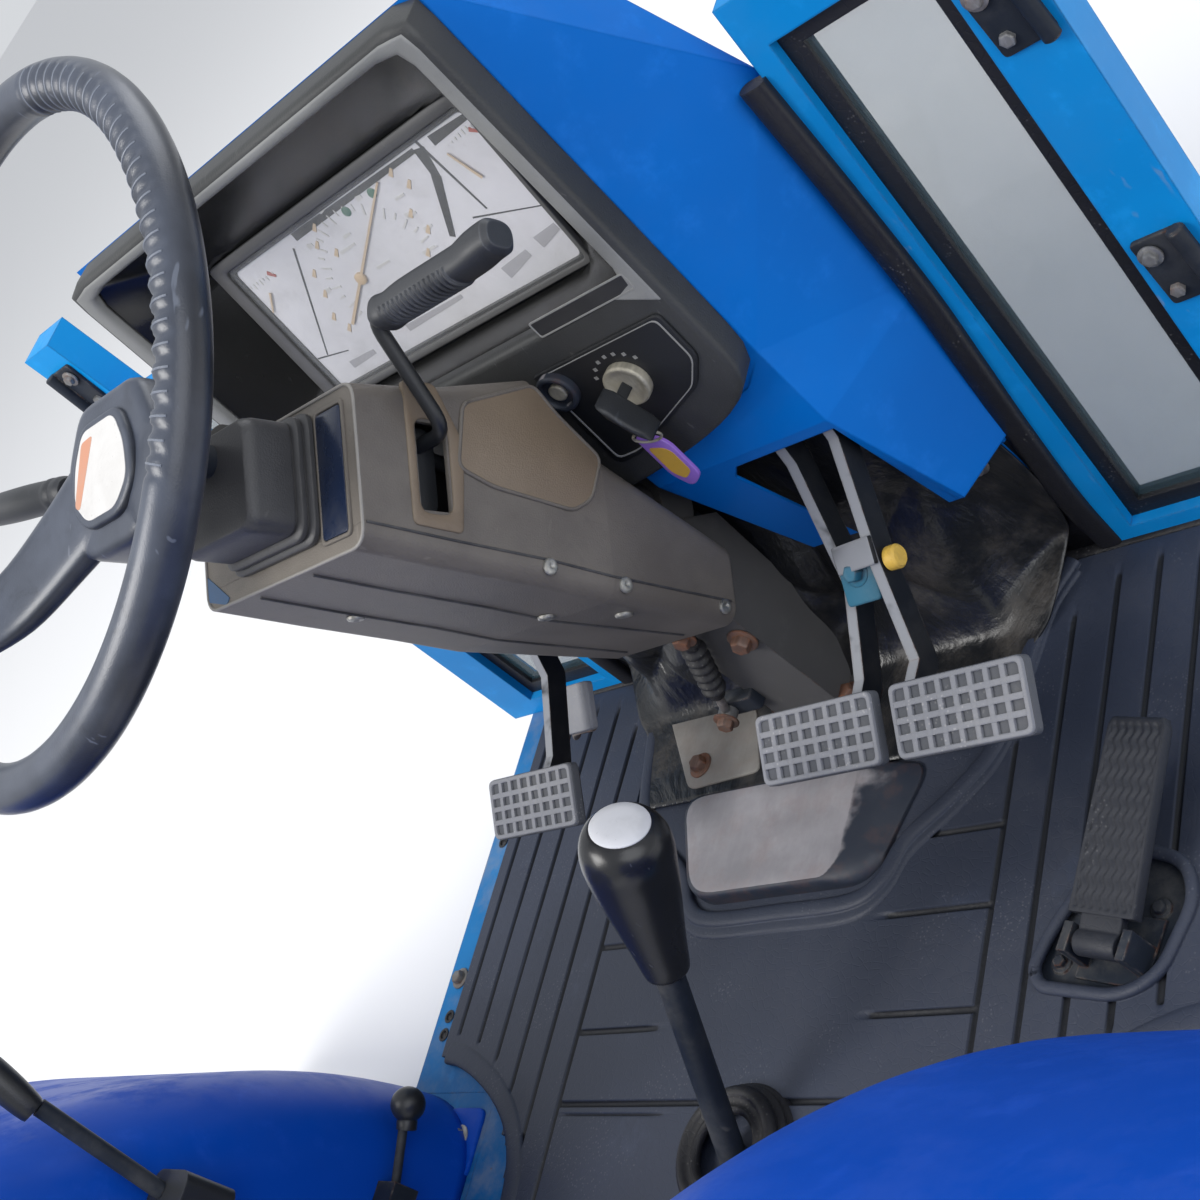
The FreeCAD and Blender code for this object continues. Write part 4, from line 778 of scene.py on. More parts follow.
def put(name: str, skin: Skin, finish: Finish, body: Body, replaces: Sequence[str] = (),
        bevel: float = 0.0, subdivide: int = 0, sharp: float = 38.0, wall: float = 0.0,
        closed: bool = True) -> bpy.types.Object:
    """Make one piece of a skin and hang it on its body.

    Args:
        name: The piece's name.
        skin: Points in mm and faces.
        finish: Its finish.
        body: The body that it rides on.
        replaces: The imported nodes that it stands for.
        bevel: Width in mm of rounded edges, or 0.
        subdivide: Levels of subdivision.
        sharp: Angle in degrees from which an edge stays sharp.
        wall: Thickness in mm grown inwards, or 0.
        closed: Whether the skin is closed, so that its normals can be worked out to point outwards.

    Returns:
        The piece's object.
    """
    mesh = bpy.data.meshes.new(name)
    mesh.from_pydata((skin.points * MM).tolist(), [], skin.faces)
    mesh.validate()
    if closed:
        work = bmesh.new()
        work.from_mesh(mesh)
        bmesh.ops.remove_doubles(work, verts=work.verts, dist=WELD)
        bmesh.ops.recalc_face_normals(work, faces=work.faces)
        work.to_mesh(mesh)
        work.free()
    mesh.shade_smooth()
    mesh.set_sharp_from_angle(angle=math.radians(sharp))
    mesh.materials.append(finish.material())
    piece = bpy.data.objects.new(name, mesh)
    bpy.context.scene.collection.objects.link(piece)
    if wall > 0:
        shell = piece.modifiers.new("wall", "SOLIDIFY")
        shell.thickness, shell.offset = wall * MM, -1.0
    if bevel > 0:
        soft = piece.modifiers.new("edges", "BEVEL")
        soft.width, soft.segments, soft.limit_method = bevel * MM, 3, "ANGLE"
        soft.angle_limit, soft.harden_normals = math.radians(30), True
    if subdivide:
        finer = piece.modifiers.new("finer", "SUBSURF")
        finer.levels = finer.render_levels = subdivide
    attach(piece, body.value)
    if replaces:
        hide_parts(*replaces)
    LOG.info("%s on %s, %d points", name, body.value, len(skin.points))
    return piece


def paint_nodes(finish: Finish, *names: str) -> None:
    """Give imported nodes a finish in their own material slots."""
    for name in names:
        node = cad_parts[name]
        if not node.data.materials:
            node.data.materials.append(finish.material())
        for i in range(len(node.data.materials)):
            node.data.materials[i] = finish.material()
        LOG.info("finish %s on node %s", finish.name, name)


def inside(outline: np.ndarray, x: np.ndarray, y: np.ndarray) -> np.ndarray:
    """Whether points are inside a closed outline: a ray to the right crosses its edges an odd number of times."""
    x0, y0 = outline[:, 0], outline[:, 1]
    x1, y1 = np.roll(x0, -1), np.roll(y0, -1)
    px, py = x[..., None], y[..., None]
    straddles = (y0 > py) != (y1 > py)
    slope = (x1 - x0) / np.where(y1 == y0, 1e-9, y1 - y0)
    return (straddles & (px < x0 + (py - y0) * slope)).sum(-1) % 2 == 1


def finer_lines(low: float, high: float, step: float, marks: Sequence[float], reach: float) -> np.ndarray:
    """Grid lines at even steps, with seven close ones about each mark."""
    lines = [np.arange(low, high, step), np.array([high])]
    lines += [mark + reach * np.array([-1.5, -1.0, -0.55, 0.0, 0.55, 1.0, 1.5]) for mark in marks]
    lines = np.unique(np.round(np.clip(np.concatenate(lines), low, high), 2))
    return lines[np.concatenate([[True], np.diff(lines) > 0.3])]


def closed_path(outline: np.ndarray, z: float) -> np.ndarray:
    """A level path round an outline that runs on past its start, so that its lids are hidden."""
    around = np.concatenate([outline, outline[:3]])
    return np.column_stack([around, np.full(len(around), z)])


@dataclass
class Floor:
    """The deck, its grooved rubber mat, and the steel cover over the drive hump."""

    half_w: float = 352.0
    front: float = 282.0
    rear: float = -297.0
    grooves: tuple[float, ...] = (184.0, 216.0, 247.0, 277.0, 307.0, 337.0)
    groove_fronts: tuple[float, ...] = (150.0, 238.0, 264.0, 266.0, 266.0, 262.0)
    crossings: tuple[float, ...] = (88.0, 33.0, -35.0, -90.0)
    groove_ends: tuple[tuple[float, float], ...] = ((221, -270), (222, -136), (248, -80), (272, -58), (300, -42),
                                                    (352, -28))
    groove_half: float = 2.8
    groove_depth: float = 3.0
    waist: tuple[tuple[float, float], ...] = ((352, -46), (330, -50), (300, -62), (272, -78), (248, -98),
                                              (231, -122), (222, -152), (221, -200), (221, -296))
    well: tuple[tuple[float, float], ...] = ((222, -12), (231, 10), (252, 42), (266, 64), (316, 46), (324, 22),
                                             (306, -22), (282, -33), (228, -24))
    ring: tuple[tuple[float, float], ...] = ((211, 281), (196, 256), (188, 223), (172, 152), (145, 117),
                                             (108, 86), (92, 58), (66, 45), (0, 44))
    hump: tuple[tuple[float, float], ...] = ((-118, 146), (118, 146), (84, 57), (-84, 57))

    def waist_edge(self, y: np.ndarray) -> np.ndarray:
        """Half width of the mat by Y, straight between the waist's points."""
        points = np.array(self.waist[::-1])
        return np.interp(y, points[:, 1], points[:, 0])

    def mat_height(self, x: np.ndarray, y: np.ndarray) -> np.ndarray:
        """Top less a rounded V at each groove: depth times 1 less the squared distance over its half width."""
        across, depth = np.abs(x), np.zeros(x.shape)
        for line, front in zip(self.grooves, self.groove_fronts):
            cut = np.clip(1 - ((across - line) / self.groove_half) ** 2, 0, 1) ** 0.6
            end = float(np.interp(line, *np.array(self.groove_ends).T))
            there = smoothstep(y, end, end + 4) * (1 - smoothstep(y, front - 4, front))
            depth = np.maximum(depth, cut * there)
        for line in self.crossings:
            cut = np.clip(1 - ((y - line) / self.groove_half) ** 2, 0, 1) ** 0.6
            near = 96.0 if line > -80 else 0.0
            there = smoothstep(across, near, near + 6) * (1 - smoothstep(across, 182, 184))
            depth = np.maximum(depth, cut * there)
        cut = np.clip(1 - ((y + 98) / 1.6) ** 2, 0, 1) * (1 - smoothstep(x, -70, -64)) * smoothstep(x, -182, -178)
        depth = np.maximum(depth, cut * 0.6)
        sag = 0.35 * np.sin(x / 61 + 0.6) * np.cos(y / 47) + 0.25 * np.sin(x / 23 + y / 31)
        return MAT_TOP - 0.6 + sag * 0.6 - self.groove_depth * depth

    def mat(self) -> None:
        """A height field with grooves, cut away past the waist, in the pedal's well and under the toe board."""
        xs = finer_lines(-self.half_w, self.half_w, 9.0, [s * g for s in (-1, 1) for g in self.grooves],
                         self.groove_half)
        xs = np.unique(np.concatenate([xs, np.arange(218.0, 328.0, 3.0)]))
        ys = finer_lines(self.rear, self.front, 8.0, [*self.crossings, -98.0], self.groove_half)
        ys = np.unique(np.concatenate([ys, np.arange(-36.0, 68.0, 3.0)]))
        x, y = np.meshgrid(xs, ys)
        top = np.stack([x, y, self.mat_height(x, y)], -1)
        low = np.stack([x, y, np.full(x.shape, DECK_TOP + 0.1)], -1)
        well = rounded_outline(self.well, 12.0, 5)
        toe = np.array([(s * px, py) for s, part in ((1, self.ring[:4]), (-1, self.ring[3::-1])) for px, py in part])
        mx, my = (x[1:, 1:] + x[:-1, :-1]) / 2, (y[1:, 1:] + y[:-1, :-1]) / 2
        out = (np.abs(mx) > self.waist_edge(my)) | inside(well, mx, my)
        out |= inside(np.array([(188, 300), (188, 160), (-188, 160), (-188, 300)], float), mx, my)
        kept = ~out.reshape(-1)
        upper, lower = grid_skin(top), grid_skin(low)
        upper.faces = [face for face, keep in zip(upper.faces, kept) if keep]
        lower.faces = [face[::-1] for face, keep in zip(lower.faces, kept) if keep]
        edge = np.pad(~out, 1)
        index = np.arange(x.size).reshape(x.shape)
        count, walls = x.size, []
        inner = edge[1:-1, 1:-1]
        for di, dj, a, b in ((-1, 0, (0, 0), (0, 1)), (1, 0, (1, 1), (1, 0)), (0, -1, (1, 0), (0, 0)),
                             (0, 1, (0, 1), (1, 1))):
            bare = inner & ~edge[1 + di:edge.shape[0] - 1 + di, 1 + dj:edge.shape[1] - 1 + dj]
            i, j = np.nonzero(bare)
            p, q = index[i + a[0], j + a[1]], index[i + b[0], j + b[1]]
            walls += np.stack([q, p, p + count, q + count], -1).tolist()
        skin = upper.joined(lower)
        skin.faces += [tuple(face) for face in walls]
        right = smooth_line([(*p, MAT_TOP - 2.6) for p in self.waist], 6)
        right[:, 0] -= 8.0
        band = sweep(right, 9.0, (0, 0, 1), 16, 0.42, 3.2)
        rim = sweep(closed_path(rounded_outline(self.well, 13.0, 6), MAT_TOP), 4.2, (0, 0, 1), 12, 0.8)
        lip_line = np.array(self.ring + tuple((-px, py) for px, py in self.ring[-2::-1]), float)
        lip_line = smooth_line(np.column_stack([lip_line, np.full(len(lip_line), MAT_TOP + 0.6)]), 7)
        lip = sweep(lip_line, 6.5, (0, 0, 1), 14, 0.55, 2.6)
        groove = lip_line.copy()
        groove[:, 1] -= 7.0
        groove[:, 2] = MAT_TOP - 0.4
        step = sweep(groove, 7.5, (0, 0, 1), 12, 0.25, 3.0)
        put("floor_mat_rubber", skin.joined(band, band.mirrored(), rim, lip, step), MAT, Body.PLATFORM,
            ("floor_mat",), sharp=50.0)

    def hump_cover(self) -> None:
        """The pressed cover: its outline is rounded, its top dents by a sine, and its right side slopes."""
        outline = rounded_outline(self.hump, 24.0, 8)
        middle = outline.mean(0)
        rings = []
        for inset, height, pull in ((0.0, DECK_TOP, 0), (0.0, 62.0, 0), (0.006, 68.5, 0.45), (0.015, 71.2, 0.8),
                                    (0.035, 73.0, 0.94), (0.07, 73.7, 1), (0.25, 73.9, 1), (0.45, 73.5, 1),
                                    (0.65, 73.2, 1), (0.85, 73.3, 1), (0.97, 73.4, 1)):
            ring = middle + (outline - middle) * (1 - inset)
            dent = 0.35 * np.sin(ring[:, 0] / 19 + inset * 9) * (inset > 0.05)
            draw = (0.30 + 0.14 * smoothstep(ring[:, 1], 57, 140)) * smoothstep(ring[:, 0], 5, 85)
            ring[:, 0] = ring[:, 0] * (1 - pull * draw)
            rings.append(np.column_stack([ring, np.full(len(ring), height) - np.abs(dent)]))
        put("hump_plate", tube_skin(np.array(rings)), STEEL_COVER, Body.PLATFORM, ("hump_cover",),
            sharp=60.0)

    def well_plate(self) -> None:
        """The steel seen at the bottom of the accelerator's well, with two studs."""
        base = slab(rounded_outline(self.well, 12.0, 4), DECK_TOP - 0.2, DECK_TOP + 0.7)
        studs = [hexagon(4.2, 5.0).moved(np.eye(3), (x, y, DECK_TOP + 0.5)) for x, y in ((238, -8), (300, 20))]
        put("well_plate", base.joined(*studs), STEEL_DARK, Body.PLATFORM)

    def edge_bolts(self) -> None:
        """Bolts and punched holes along the deck's bare edges."""
        bolts = [hexagon(6.0, 6.5).moved(np.eye(3), (s * 367.0, y, DECK_TOP)) for s in (-1, 1) for y in (205.0, 22.0)]
        put("deck_bolts", bolts[0].joined(*bolts[1:]), STEEL_WORN, Body.PLATFORM)
        holes = [lathe([(4.5, 0), (5.8, 0.7), (5.8, 0.9), (3.6, 0.9), (3.6, 0.25)], 18).moved(
            np.eye(3), (s * 366.0, y, DECK_TOP)) for s in (-1, 1) for y in (150.0, -12.0, -28.0)]
        put("deck_grommets", holes[0].joined(*holes[1:]), SEAL, Body.PLATFORM)

    def gussets(self) -> None:
        """Plates that close the deck's waist to the foot of each arch, and seals along its sides."""
        outline = np.array([(268, -72), (384, -72), (383, -78), (345, -86), (312, -100), (292, -120), (279.5, -147),
                            (279.5, -299), (268, -299)])
        plate = slab(outline, DECK_TOP - 4, DECK_TOP - 0.2)
        sill = sweep(np.array([(192.0, 288, 57.4), (240, 288.5, 57.6), (300, 288.5, 57.4), (350, 288, 57.0)]), 7.0,
                     (0, 0, 1), 14, 0.6, 3.0)
        put("mat_sill", sill.joined(sill.mirrored()), SEAL, Body.PLATFORM)
        put("deck_gussets", plate.joined(plate.mirrored()), BLUE_DECK, Body.PLATFORM)

    def build(self) -> None:
        """Make the floor."""
        self.gussets()
        self.mat()
        self.hump_cover()
        self.well_plate()
        self.edge_bolts()
        paint_nodes(BLUE_DECK, "deck_pan", "cross_member_front", "cross_member_rear")


@dataclass
class SteeringWheel:
    """The rim with its moulded finger ridges, the two spokes, and the hub with a bare sticker."""

    rim_r: float = 183.0
    tube_r: float = 13.3
    ridge_pitch: float = 10.5
    ridge_rise: float = 1.5
    zones: tuple[tuple[float, float], ...] = ((-24.0, 76.0), (104.0, 204.0))
    hub: tuple[tuple[float, float], ...] = ((-34, 34), (34, 34), (52, 2), (56, -34), (30, -58), (-30, -58),
                                            (-56, -34), (-52, 2))
    spokes: tuple[float, float] = (212.0, 328.0)
    sections: tuple[tuple[float, float, float, float], ...] = ((24, -62, 30, 11), (75, -52, 26, 9),
                                                               (120, -40, 23, 8), (152, -20, 20, 7),
                                                               (179, -2, 18, 6))

    def rim(self) -> None:
        """A torus whose tube sinks between ridges: tube radius is its base less a rise times how far the point is
        from a ridge's crown, inside a zone and a band of the section."""
        arc = np.linspace(0, 2 * np.pi, 720, endpoint=False)
        around = np.linspace(0, 2 * np.pi, 28, endpoint=False)
        a, p = np.meshgrid(arc, around, indexing="ij")
        degrees = (np.degrees(a) + 60.0) % 360.0 - 60.0
        zone = sum(smoothstep(degrees, lo, lo + 2) * (1 - smoothstep(degrees, hi - 2, hi)) for lo, hi in self.zones)
        side = np.degrees(p)
        band = smoothstep(side, 48, 66) * (1 - smoothstep(side, 196, 214))
        phase = -np.cos(a * round(2 * np.pi * self.rim_r / self.ridge_pitch))
        dip = 1 - np.clip((phase + 0.55) * 1.6, 0, 1)
        tube = self.tube_r - 0.7 * zone * band - self.ridge_rise * zone * band * (dip - 0.45) * 0.9
        tube = np.minimum(tube, 13.45)
        reach = self.rim_r + tube * np.cos(p)
        grid = np.stack([reach * np.cos(a), reach * np.sin(a), tube * np.sin(p)], -1)
        put("wheel_rim_skin", on_column(grid_skin(grid, True, True)), WHEEL_SKIN, Body.WHEEL,
            ("wheel_rim",), sharp=70.0)
        # Pale lines on the crowns of the ridges: painted highlights.
        lines = []
        turns = 2 * np.pi / round(2 * np.pi * self.rim_r / self.ridge_pitch)
        section = np.radians(np.linspace(56, 205, 22))
        for k in range(-200, 400):
            at = (k + 0.5) * turns
            if not any(lo + 1 < math.degrees(at) < hi - 1 for lo, hi in self.zones):
                continue
            reach = self.rim_r + (self.tube_r - 0.25) * np.cos(section)
            path = np.column_stack([reach * math.cos(at), reach * math.sin(at),
                                    (self.tube_r - 0.25) * np.sin(section)])
            lines.append(sweep(path, 0.62, (-math.sin(at), math.cos(at), 0), 6))
        put("wheel_rim_highlights", on_column(lines[0].joined(*lines[1:])), WHEEL_RIDGE_HIGHLIGHT, Body.WHEEL)

    def spoke(self, angle: float) -> Skin:
        """A rounded bar from the hub to the rim, whose half width and half height blend between sections."""
        a = math.radians(angle)
        out, side = np.array([math.cos(a), math.sin(a), 0]), np.array([-math.sin(a), math.cos(a), 0])
        rows = smooth_line(self.sections, 5)
        turn = np.linspace(0, 2 * np.pi, 24, endpoint=False)
        c, s = np.cos(turn), np.sin(turn)
        c, s = np.sign(c) * np.abs(c) ** 0.5, np.sign(s) * np.abs(s) ** 0.5
        rings = (rows[:, None, 0:1] * out + rows[:, None, 2:3] * c[:, None] * side
                 + (rows[:, None, 1:2] + rows[:, None, 3:4] * s[:, None]) * np.array([0, 0, 1.0]))
        return tube_skin(rings)

    def hub_outline(self, scale: float, radius: float) -> np.ndarray:
        """The rounded shield of the hub."""
        points = [(x * scale, (y + 12) * scale - 12) for x, y in self.hub]
        return rounded_outline(points, radius, 6)

    def centre(self) -> None:
        """Spokes, shield, raised cap and boss as one moulding."""
        shield = slab(self.hub_outline(0.99, 12), -74.8, -49.6, 7.0)
        boss = lathe([(20, -79.5), (20, -70)], 32)
        parts = shield.joined(boss, *[self.spoke(angle) for angle in self.spokes])
        put("wheel_centre", on_column(parts), WHEEL_SKIN, Body.WHEEL, ("wheel_spokes",))
        cap = slab(self.hub_outline(0.66, 10), -50, -45.6, 2.2)
        put("wheel_cap", on_column(cap), WHEEL_SKIN, Body.WHEEL, ("wheel_hub_pad",))
        plain = slab(self.hub_outline(0.56, 7), -45.6, -45.2)
        put("wheel_sticker", on_column(plain), STICKER_WHITE, Body.WHEEL)
        corners = [(-20, 8), (-6, 9), (-25, -29), (-31, -26)]
        band = slab(rounded_outline(corners, 3, 4), -45.3, -45.08)
        put("wheel_sticker_band", on_column(band), STICKER_ORANGE, Body.WHEEL)

    def build(self) -> None:
        """Make the wheel."""
        self.rim()
        self.centre()
        paint_nodes(STEEL_DARK, "steering_shaft")


@dataclass
class Column:
    """The two-part plastic cover of the steering column, its collars, plates, seams and screws."""

    sections: tuple[tuple[float, float, float, float], ...] = ((154.5, 87, -68, 28), (214, 87, -74, 34),
                                                               (283, 87, -80, 49), (335, 85, -86, 6),
                                                               (460, 66, -90, -35))
    split: float = 14.0
    slot: tuple[float, float, float, float] = (191.0, 217.0, -44.0, 8.0)

    def width(self, s: float) -> float:
        """Half width of the cover that far down the column."""
        rows = np.array(self.sections)
        return float(np.interp(s, rows[:, 0], rows[:, 1]))

    def on_side(self, outline: Sequence[tuple[float, float]], low: float, high: float, radius: float,
                round_off: float = 0.0) -> Skin:
        """A plate on the cover's right cheek, from corners given as distance down the column and height."""
        flat = slab(rounded_outline([(-s, t) for s, t in outline], radius, 5), low, high, round_off)
        rows = np.array(self.sections)
        out = np.interp(-flat.points[:, 0], rows[:, 0], rows[:, 1])
        return on_column(Skin(np.column_stack([out + flat.points[:, 2], flat.points[:, 1], flat.points[:, 0]]),
                              flat.faces))

    def collars(self) -> None:
        """Three stepped mouldings behind the wheel, each with a rounded edge and a groove below."""
        parts = []
        for (s, half, low, high), base in zip(((148.5, 46, -56, 22), (142.5, 43.5, -53.5, 20), (112, 41, -50, 17)),
                                              (154.5, 148.5, 142.5)):
            outline = rounded_outline([(-half, low), (half, low), (half, high), (-half, high)], 11, 7)
            middle = outline.mean(0)
            rings = []
            for inset, depth in ((0.05, base), (0.05, base - 1.2), (0.0, base - 1.6), (0.0, s + 0.25 * (base - s)),
                                 (0.03, s + 0.09 * (base - s)), (0.09, s), (0.6, s)):
                ring = middle + (outline - middle) * (1 - inset)
                rings.append(np.column_stack([ring, np.full(len(ring), -depth)]))
            parts.append(tube_skin(np.array(rings)))
        put("column_collars", on_column(parts[0].joined(*parts[1:])), COLLAR_SKIN, Body.PLATFORM,
            ("column_collar",))

    def plates(self) -> None:
        """The bare dark plate on the end face, the brown inset and their rims."""
        face = -self.sections[0][0]
        navy = slab(rounded_outline([(48, -56), (73, -56), (73, 17), (48, 17)], 2.5, 4), face - 0.2, face + 1.4, 0.5)
        put("column_navy_plate", on_column(navy), PLATE_NAVY, Body.PLATFORM, ("column_plate",))
        frame_out = rounded_outline([(46, -59), (76, -59), (76, 20), (46, 20)], 4, 4)
        frame_in = rounded_outline([(48.4, -56.6), (73.6, -56.6), (73.6, 17.6), (48.4, 17.6)], 3, 4)
        put("column_plate_rim", on_column(ring_slab(frame_out, frame_in, face - 0.2, face + 1.5)), COLUMN_SKIN,
            Body.PLATFORM)
        inset = [(229, 23), (222, -16), (246, -25), (306, -33), (322, -24), (333, 3), (300, 26), (283, 42)]
        put("column_inset", self.on_side(inset, -0.4, 1.2, 6.0, 0.3), COLUMN_TAN, Body.PLATFORM)
        line = rounded_outline([(-s, t) for s, t in inset], 6.0, 5)
        middle = line.mean(0)
        rim_path = np.concatenate([line, line[:3]])
        rim_path = middle + (rim_path - middle) * 1.012
        rows = np.array(self.sections)
        out = np.interp(-rim_path[:, 0], rows[:, 0], rows[:, 1]) + 0.7
        path = np.column_stack([out, rim_path[:, 1], rim_path[:, 0]])
        put("column_inset_rim", on_column(sweep(path, 1.3, (1, 0, 0), 8)), COLUMN_SKIN, Body.PLATFORM)

    def slot_pad(self) -> None:
        """A raised lighter pad with a round-ended slot in it, from two outlines with as many points."""
        outer = rounded_outline([(-187, 32), (-187, -53), (-221, -56), (-227, -2), (-209, 32)], 4.0, 7)
        inner = rounded_outline([(-192.5, 10), (-192.5, -46), (-215.5, -46), (-216.2, -4), (-215.5, 10)], 8.0, 7)
        ring = ring_slab(outer, inner, -3.0, 1.1, 0.5)
        place = Skin(np.column_stack([87.0 + ring.points[:, 2], ring.points[:, 1], ring.points[:, 0]]), ring.faces)
        put("column_slot_pad", on_column(place), COLUMN_TAN, Body.PLATFORM)
        # A black sheet inside the slot stands for the shade in it: painted shade.
        slot_shade_sheet = slab(rounded_outline([(-193, 9), (-193, -43), (-215, -43), (-215, 9)], 9.0, 6), -14.0, -13.0)
        dark = Skin(np.column_stack([87.0 + slot_shade_sheet.points[:, 2], slot_shade_sheet.points[:, 1], slot_shade_sheet.points[:, 0]]),
                    slot_shade_sheet.faces)
        put("column_slot_shade", on_column(dark), BLACK_SKIN, Body.PLATFORM)

    def seams(self) -> None:
        """Beads along the parting line and the fold, ribs on the underside, and the screws."""
        rows = np.array(self.sections)
        beads = []
        for side in (-1, 1):
            s = np.linspace(156.0, 455.0, 60)
            half = np.interp(s, rows[:, 0], rows[:, 1])
            low = np.interp(s, rows[:, 0], rows[:, 2])
            path = np.column_stack([side * (half + 0.1), low + self.split, -s])
            beads.append(sweep(path, 0.9, (1, 0, 0), 8))
        s = np.linspace(160.0, 450.0, 50)
        low = np.interp(s, rows[:, 0], rows[:, 2])
        for x in (24.0, -34.0):
            beads.append(sweep(np.column_stack([np.full(50, x), low - 0.1, -s]), 1.1, (1, 0, 0), 8))
        put("column_seams", on_column(beads[0].joined(*beads[1:])), COLLAR_SKIN, Body.PLATFORM)
        heads = []
        for s, t in ((283.0, -70.0), (345.0, -76.0), (447.0, -80.0)):
            skin = screw(5.4, 2.6).moved(facing((1, 0, 0), (0, 1, 0)), (self.width(s) - 0.3, t, -s))
            heads.append(skin)
        for x, s in ((29.0, 326.0), (56.0, 367.0), (-40.0, 230.0)):
            t = float(np.interp(s, rows[:, 0], rows[:, 2]))
            heads.append(screw(6.0, 2.8).moved(facing((0, -1, -0.07), (1, 0, 0)), (x, t + 0.3, -s)))
        put("column_screws", on_column(heads[0].joined(*heads[1:])), STEEL_BRIGHT, Body.PLATFORM)
        # A pale bead round the end face: painted highlight.
        edge = closed_path(rounded_outline([(-86, -67), (86, -67), (86, 27), (-86, 27)], 12, 7), -154.3)
        put("column_face_highlight", on_column(sweep(edge, 1.1, (0, 0, 1), 8)), COLUMN_RIM_HIGHLIGHT, Body.PLATFORM)
        tab = slab(rounded_outline([(-86, -44), (-60, -63), (-64, -66.5), (-86.5, -60)], 2, 4), -154.7, -153.9)
        put("column_blue_tab", on_column(tab), PAINT_BLUE_TAB, Body.PLATFORM)

    def build(self) -> None:
        """Make the column's trim and dress its covers, tube and foot."""
        self.collars()
        self.plates()
        self.slot_pad()
        self.seams()
        paint_nodes(COLUMN_SKIN, "column_cover_upper", "column_cover_lower")
        paint_nodes(MAST_GREY, "column_tube", "column_base")


@dataclass
class HandThrottle:
    """A bent rod from the column's side with a ribbed, cranked grip."""

    path: tuple[tuple[float, float, float], ...] = ((65, -20, -281), (65, -2, -204), (102, -2, -204),
                                                    (102, 58, -160), (126, 58, -160))
    grip_from: float = 110.0
    grip_to: float = 217.0
    at: tuple[float, float] = (58.0, -160.0)

    def lever(self) -> None:
        """The rod and its hub."""
        rod = sweep(bent_line(self.path, 13.0), 4.5, (0.31, 0.2, 0.93), 16)
        hub = lathe([(11, -9), (11, 8), (9.8, 9), (5.2, 9), (5.2, -9)], 28).moved(
            facing((1, 0, 0), (0, 1, 0)), (65, -20, -281))
        put("throttle_rod", on_column(rod.joined(hub)), BLACK_SKIN, Body.THROTTLE,
            ("throttle_lever",))

    def grip(self) -> None:
        """A flattened bar whose half height swells at both ends, with ribs as short swept beads on its face."""
        t, depth = self.at
        u = np.linspace(0, 1, 40)
        x = self.grip_from + (self.grip_to - self.grip_from) * u
        lift = 3.0 * smoothstep(u, 0.70, 0.95) - 1.5 * np.exp(-((u - 0.1) / 0.1) ** 2)
        path = np.column_stack([x, t + lift - 0.5, np.full(40, depth)])
        size = 10.6 + 1.0 * np.exp(-((u - 0.06) / 0.06) ** 2) + 1.2 * smoothstep(u, 0.72, 0.86)
        size = size * (1 - 0.25 * smoothstep(u, 0.97, 1.0)) * (0.82 + 0.18 * smoothstep(u, 0.0, 0.04))
        size = np.minimum(size - np.abs(lift) * 0.25, 12.0)
        body = sweep(path, size, (0, 1, 0), 28, 0.86, 2.8)
        ribs = []
        for k in np.linspace(0.12, 0.66, 15):
            centre = np.array([self.grip_from + (self.grip_to - self.grip_from) * k, t - 0.5, depth])
            angle = np.linspace(-2.6, -0.3, 14)
            arc = centre + np.column_stack([np.zeros(14), 10.1 * np.sin(angle), 11.3 * np.cos(angle)])
            ribs.append(sweep(arc, 1.25, (1, 0, 0), 8))
        put("throttle_handle", on_column(body.joined(*ribs)), GRIP_SKIN, Body.THROTTLE,
            ("throttle_grip",))

    def build(self) -> None:
        """Make the throttle and dress its bracket."""
        self.lever()
        self.grip()
        paint_nodes(STEEL_DARK, "throttle_bracket")


@dataclass
class Shuttle:
    """The direction stalk to the left of the column."""

    start: tuple[float, float, float] = (-30.0, 2.0, -92.0)
    end: tuple[float, float, float] = (-238.0, 28.0, -72.0)
    grip_length: float = 120.0

    def build(self) -> None:
        """A round rod and a grip whose radius follows a soft barrel with a waist and two collars."""
        start, end = np.array(self.start), np.array(self.end)
        length = np.linalg.norm(end - start)
        along = (end - start) / length
        split = length - self.grip_length
        rod = sweep(start + along * np.linspace(0, split + 4, 8)[:, None], 5.0, (0, 0, 1), 16)
        hub = lathe([(9, -5), (10, -4), (10, 4), (9, 5), (4.2, 5), (4.2, -5)], 28).moved(np.eye(3), start)
        put("shuttle_rod", on_column(rod.joined(hub)), STEEL_DARK, Body.SHUTTLE, ("shuttle_lever",))
        t = np.concatenate([np.linspace(0, 0.16, 12), np.linspace(0.18, 0.94, 14), np.linspace(0.95, 1.0, 6)])
        radius = 8.6 + 2.2 * np.sin(np.pi * np.clip(t * 1.05, 0, 1)) ** 0.7
        radius = radius + 0.9 * (np.abs(t - 0.05) < 0.025) + 0.7 * (np.abs(t - 0.13) < 0.02)
        radius = np.minimum(radius, 10.9) * np.sqrt(np.clip(1 - ((t - 0.9) / 0.104) ** 2 * (t > 0.9), 0.06, 1))
        grip = sweep(start + along * (split + self.grip_length * t * 0.998)[:, None], radius, (0, 0, 1), 24)
        put("shuttle_handle", on_column(grip), GRIP_SKIN, Body.SHUTTLE, ("shuttle_grip",))
        paint_nodes(STEEL_DARK, "shuttle_post")


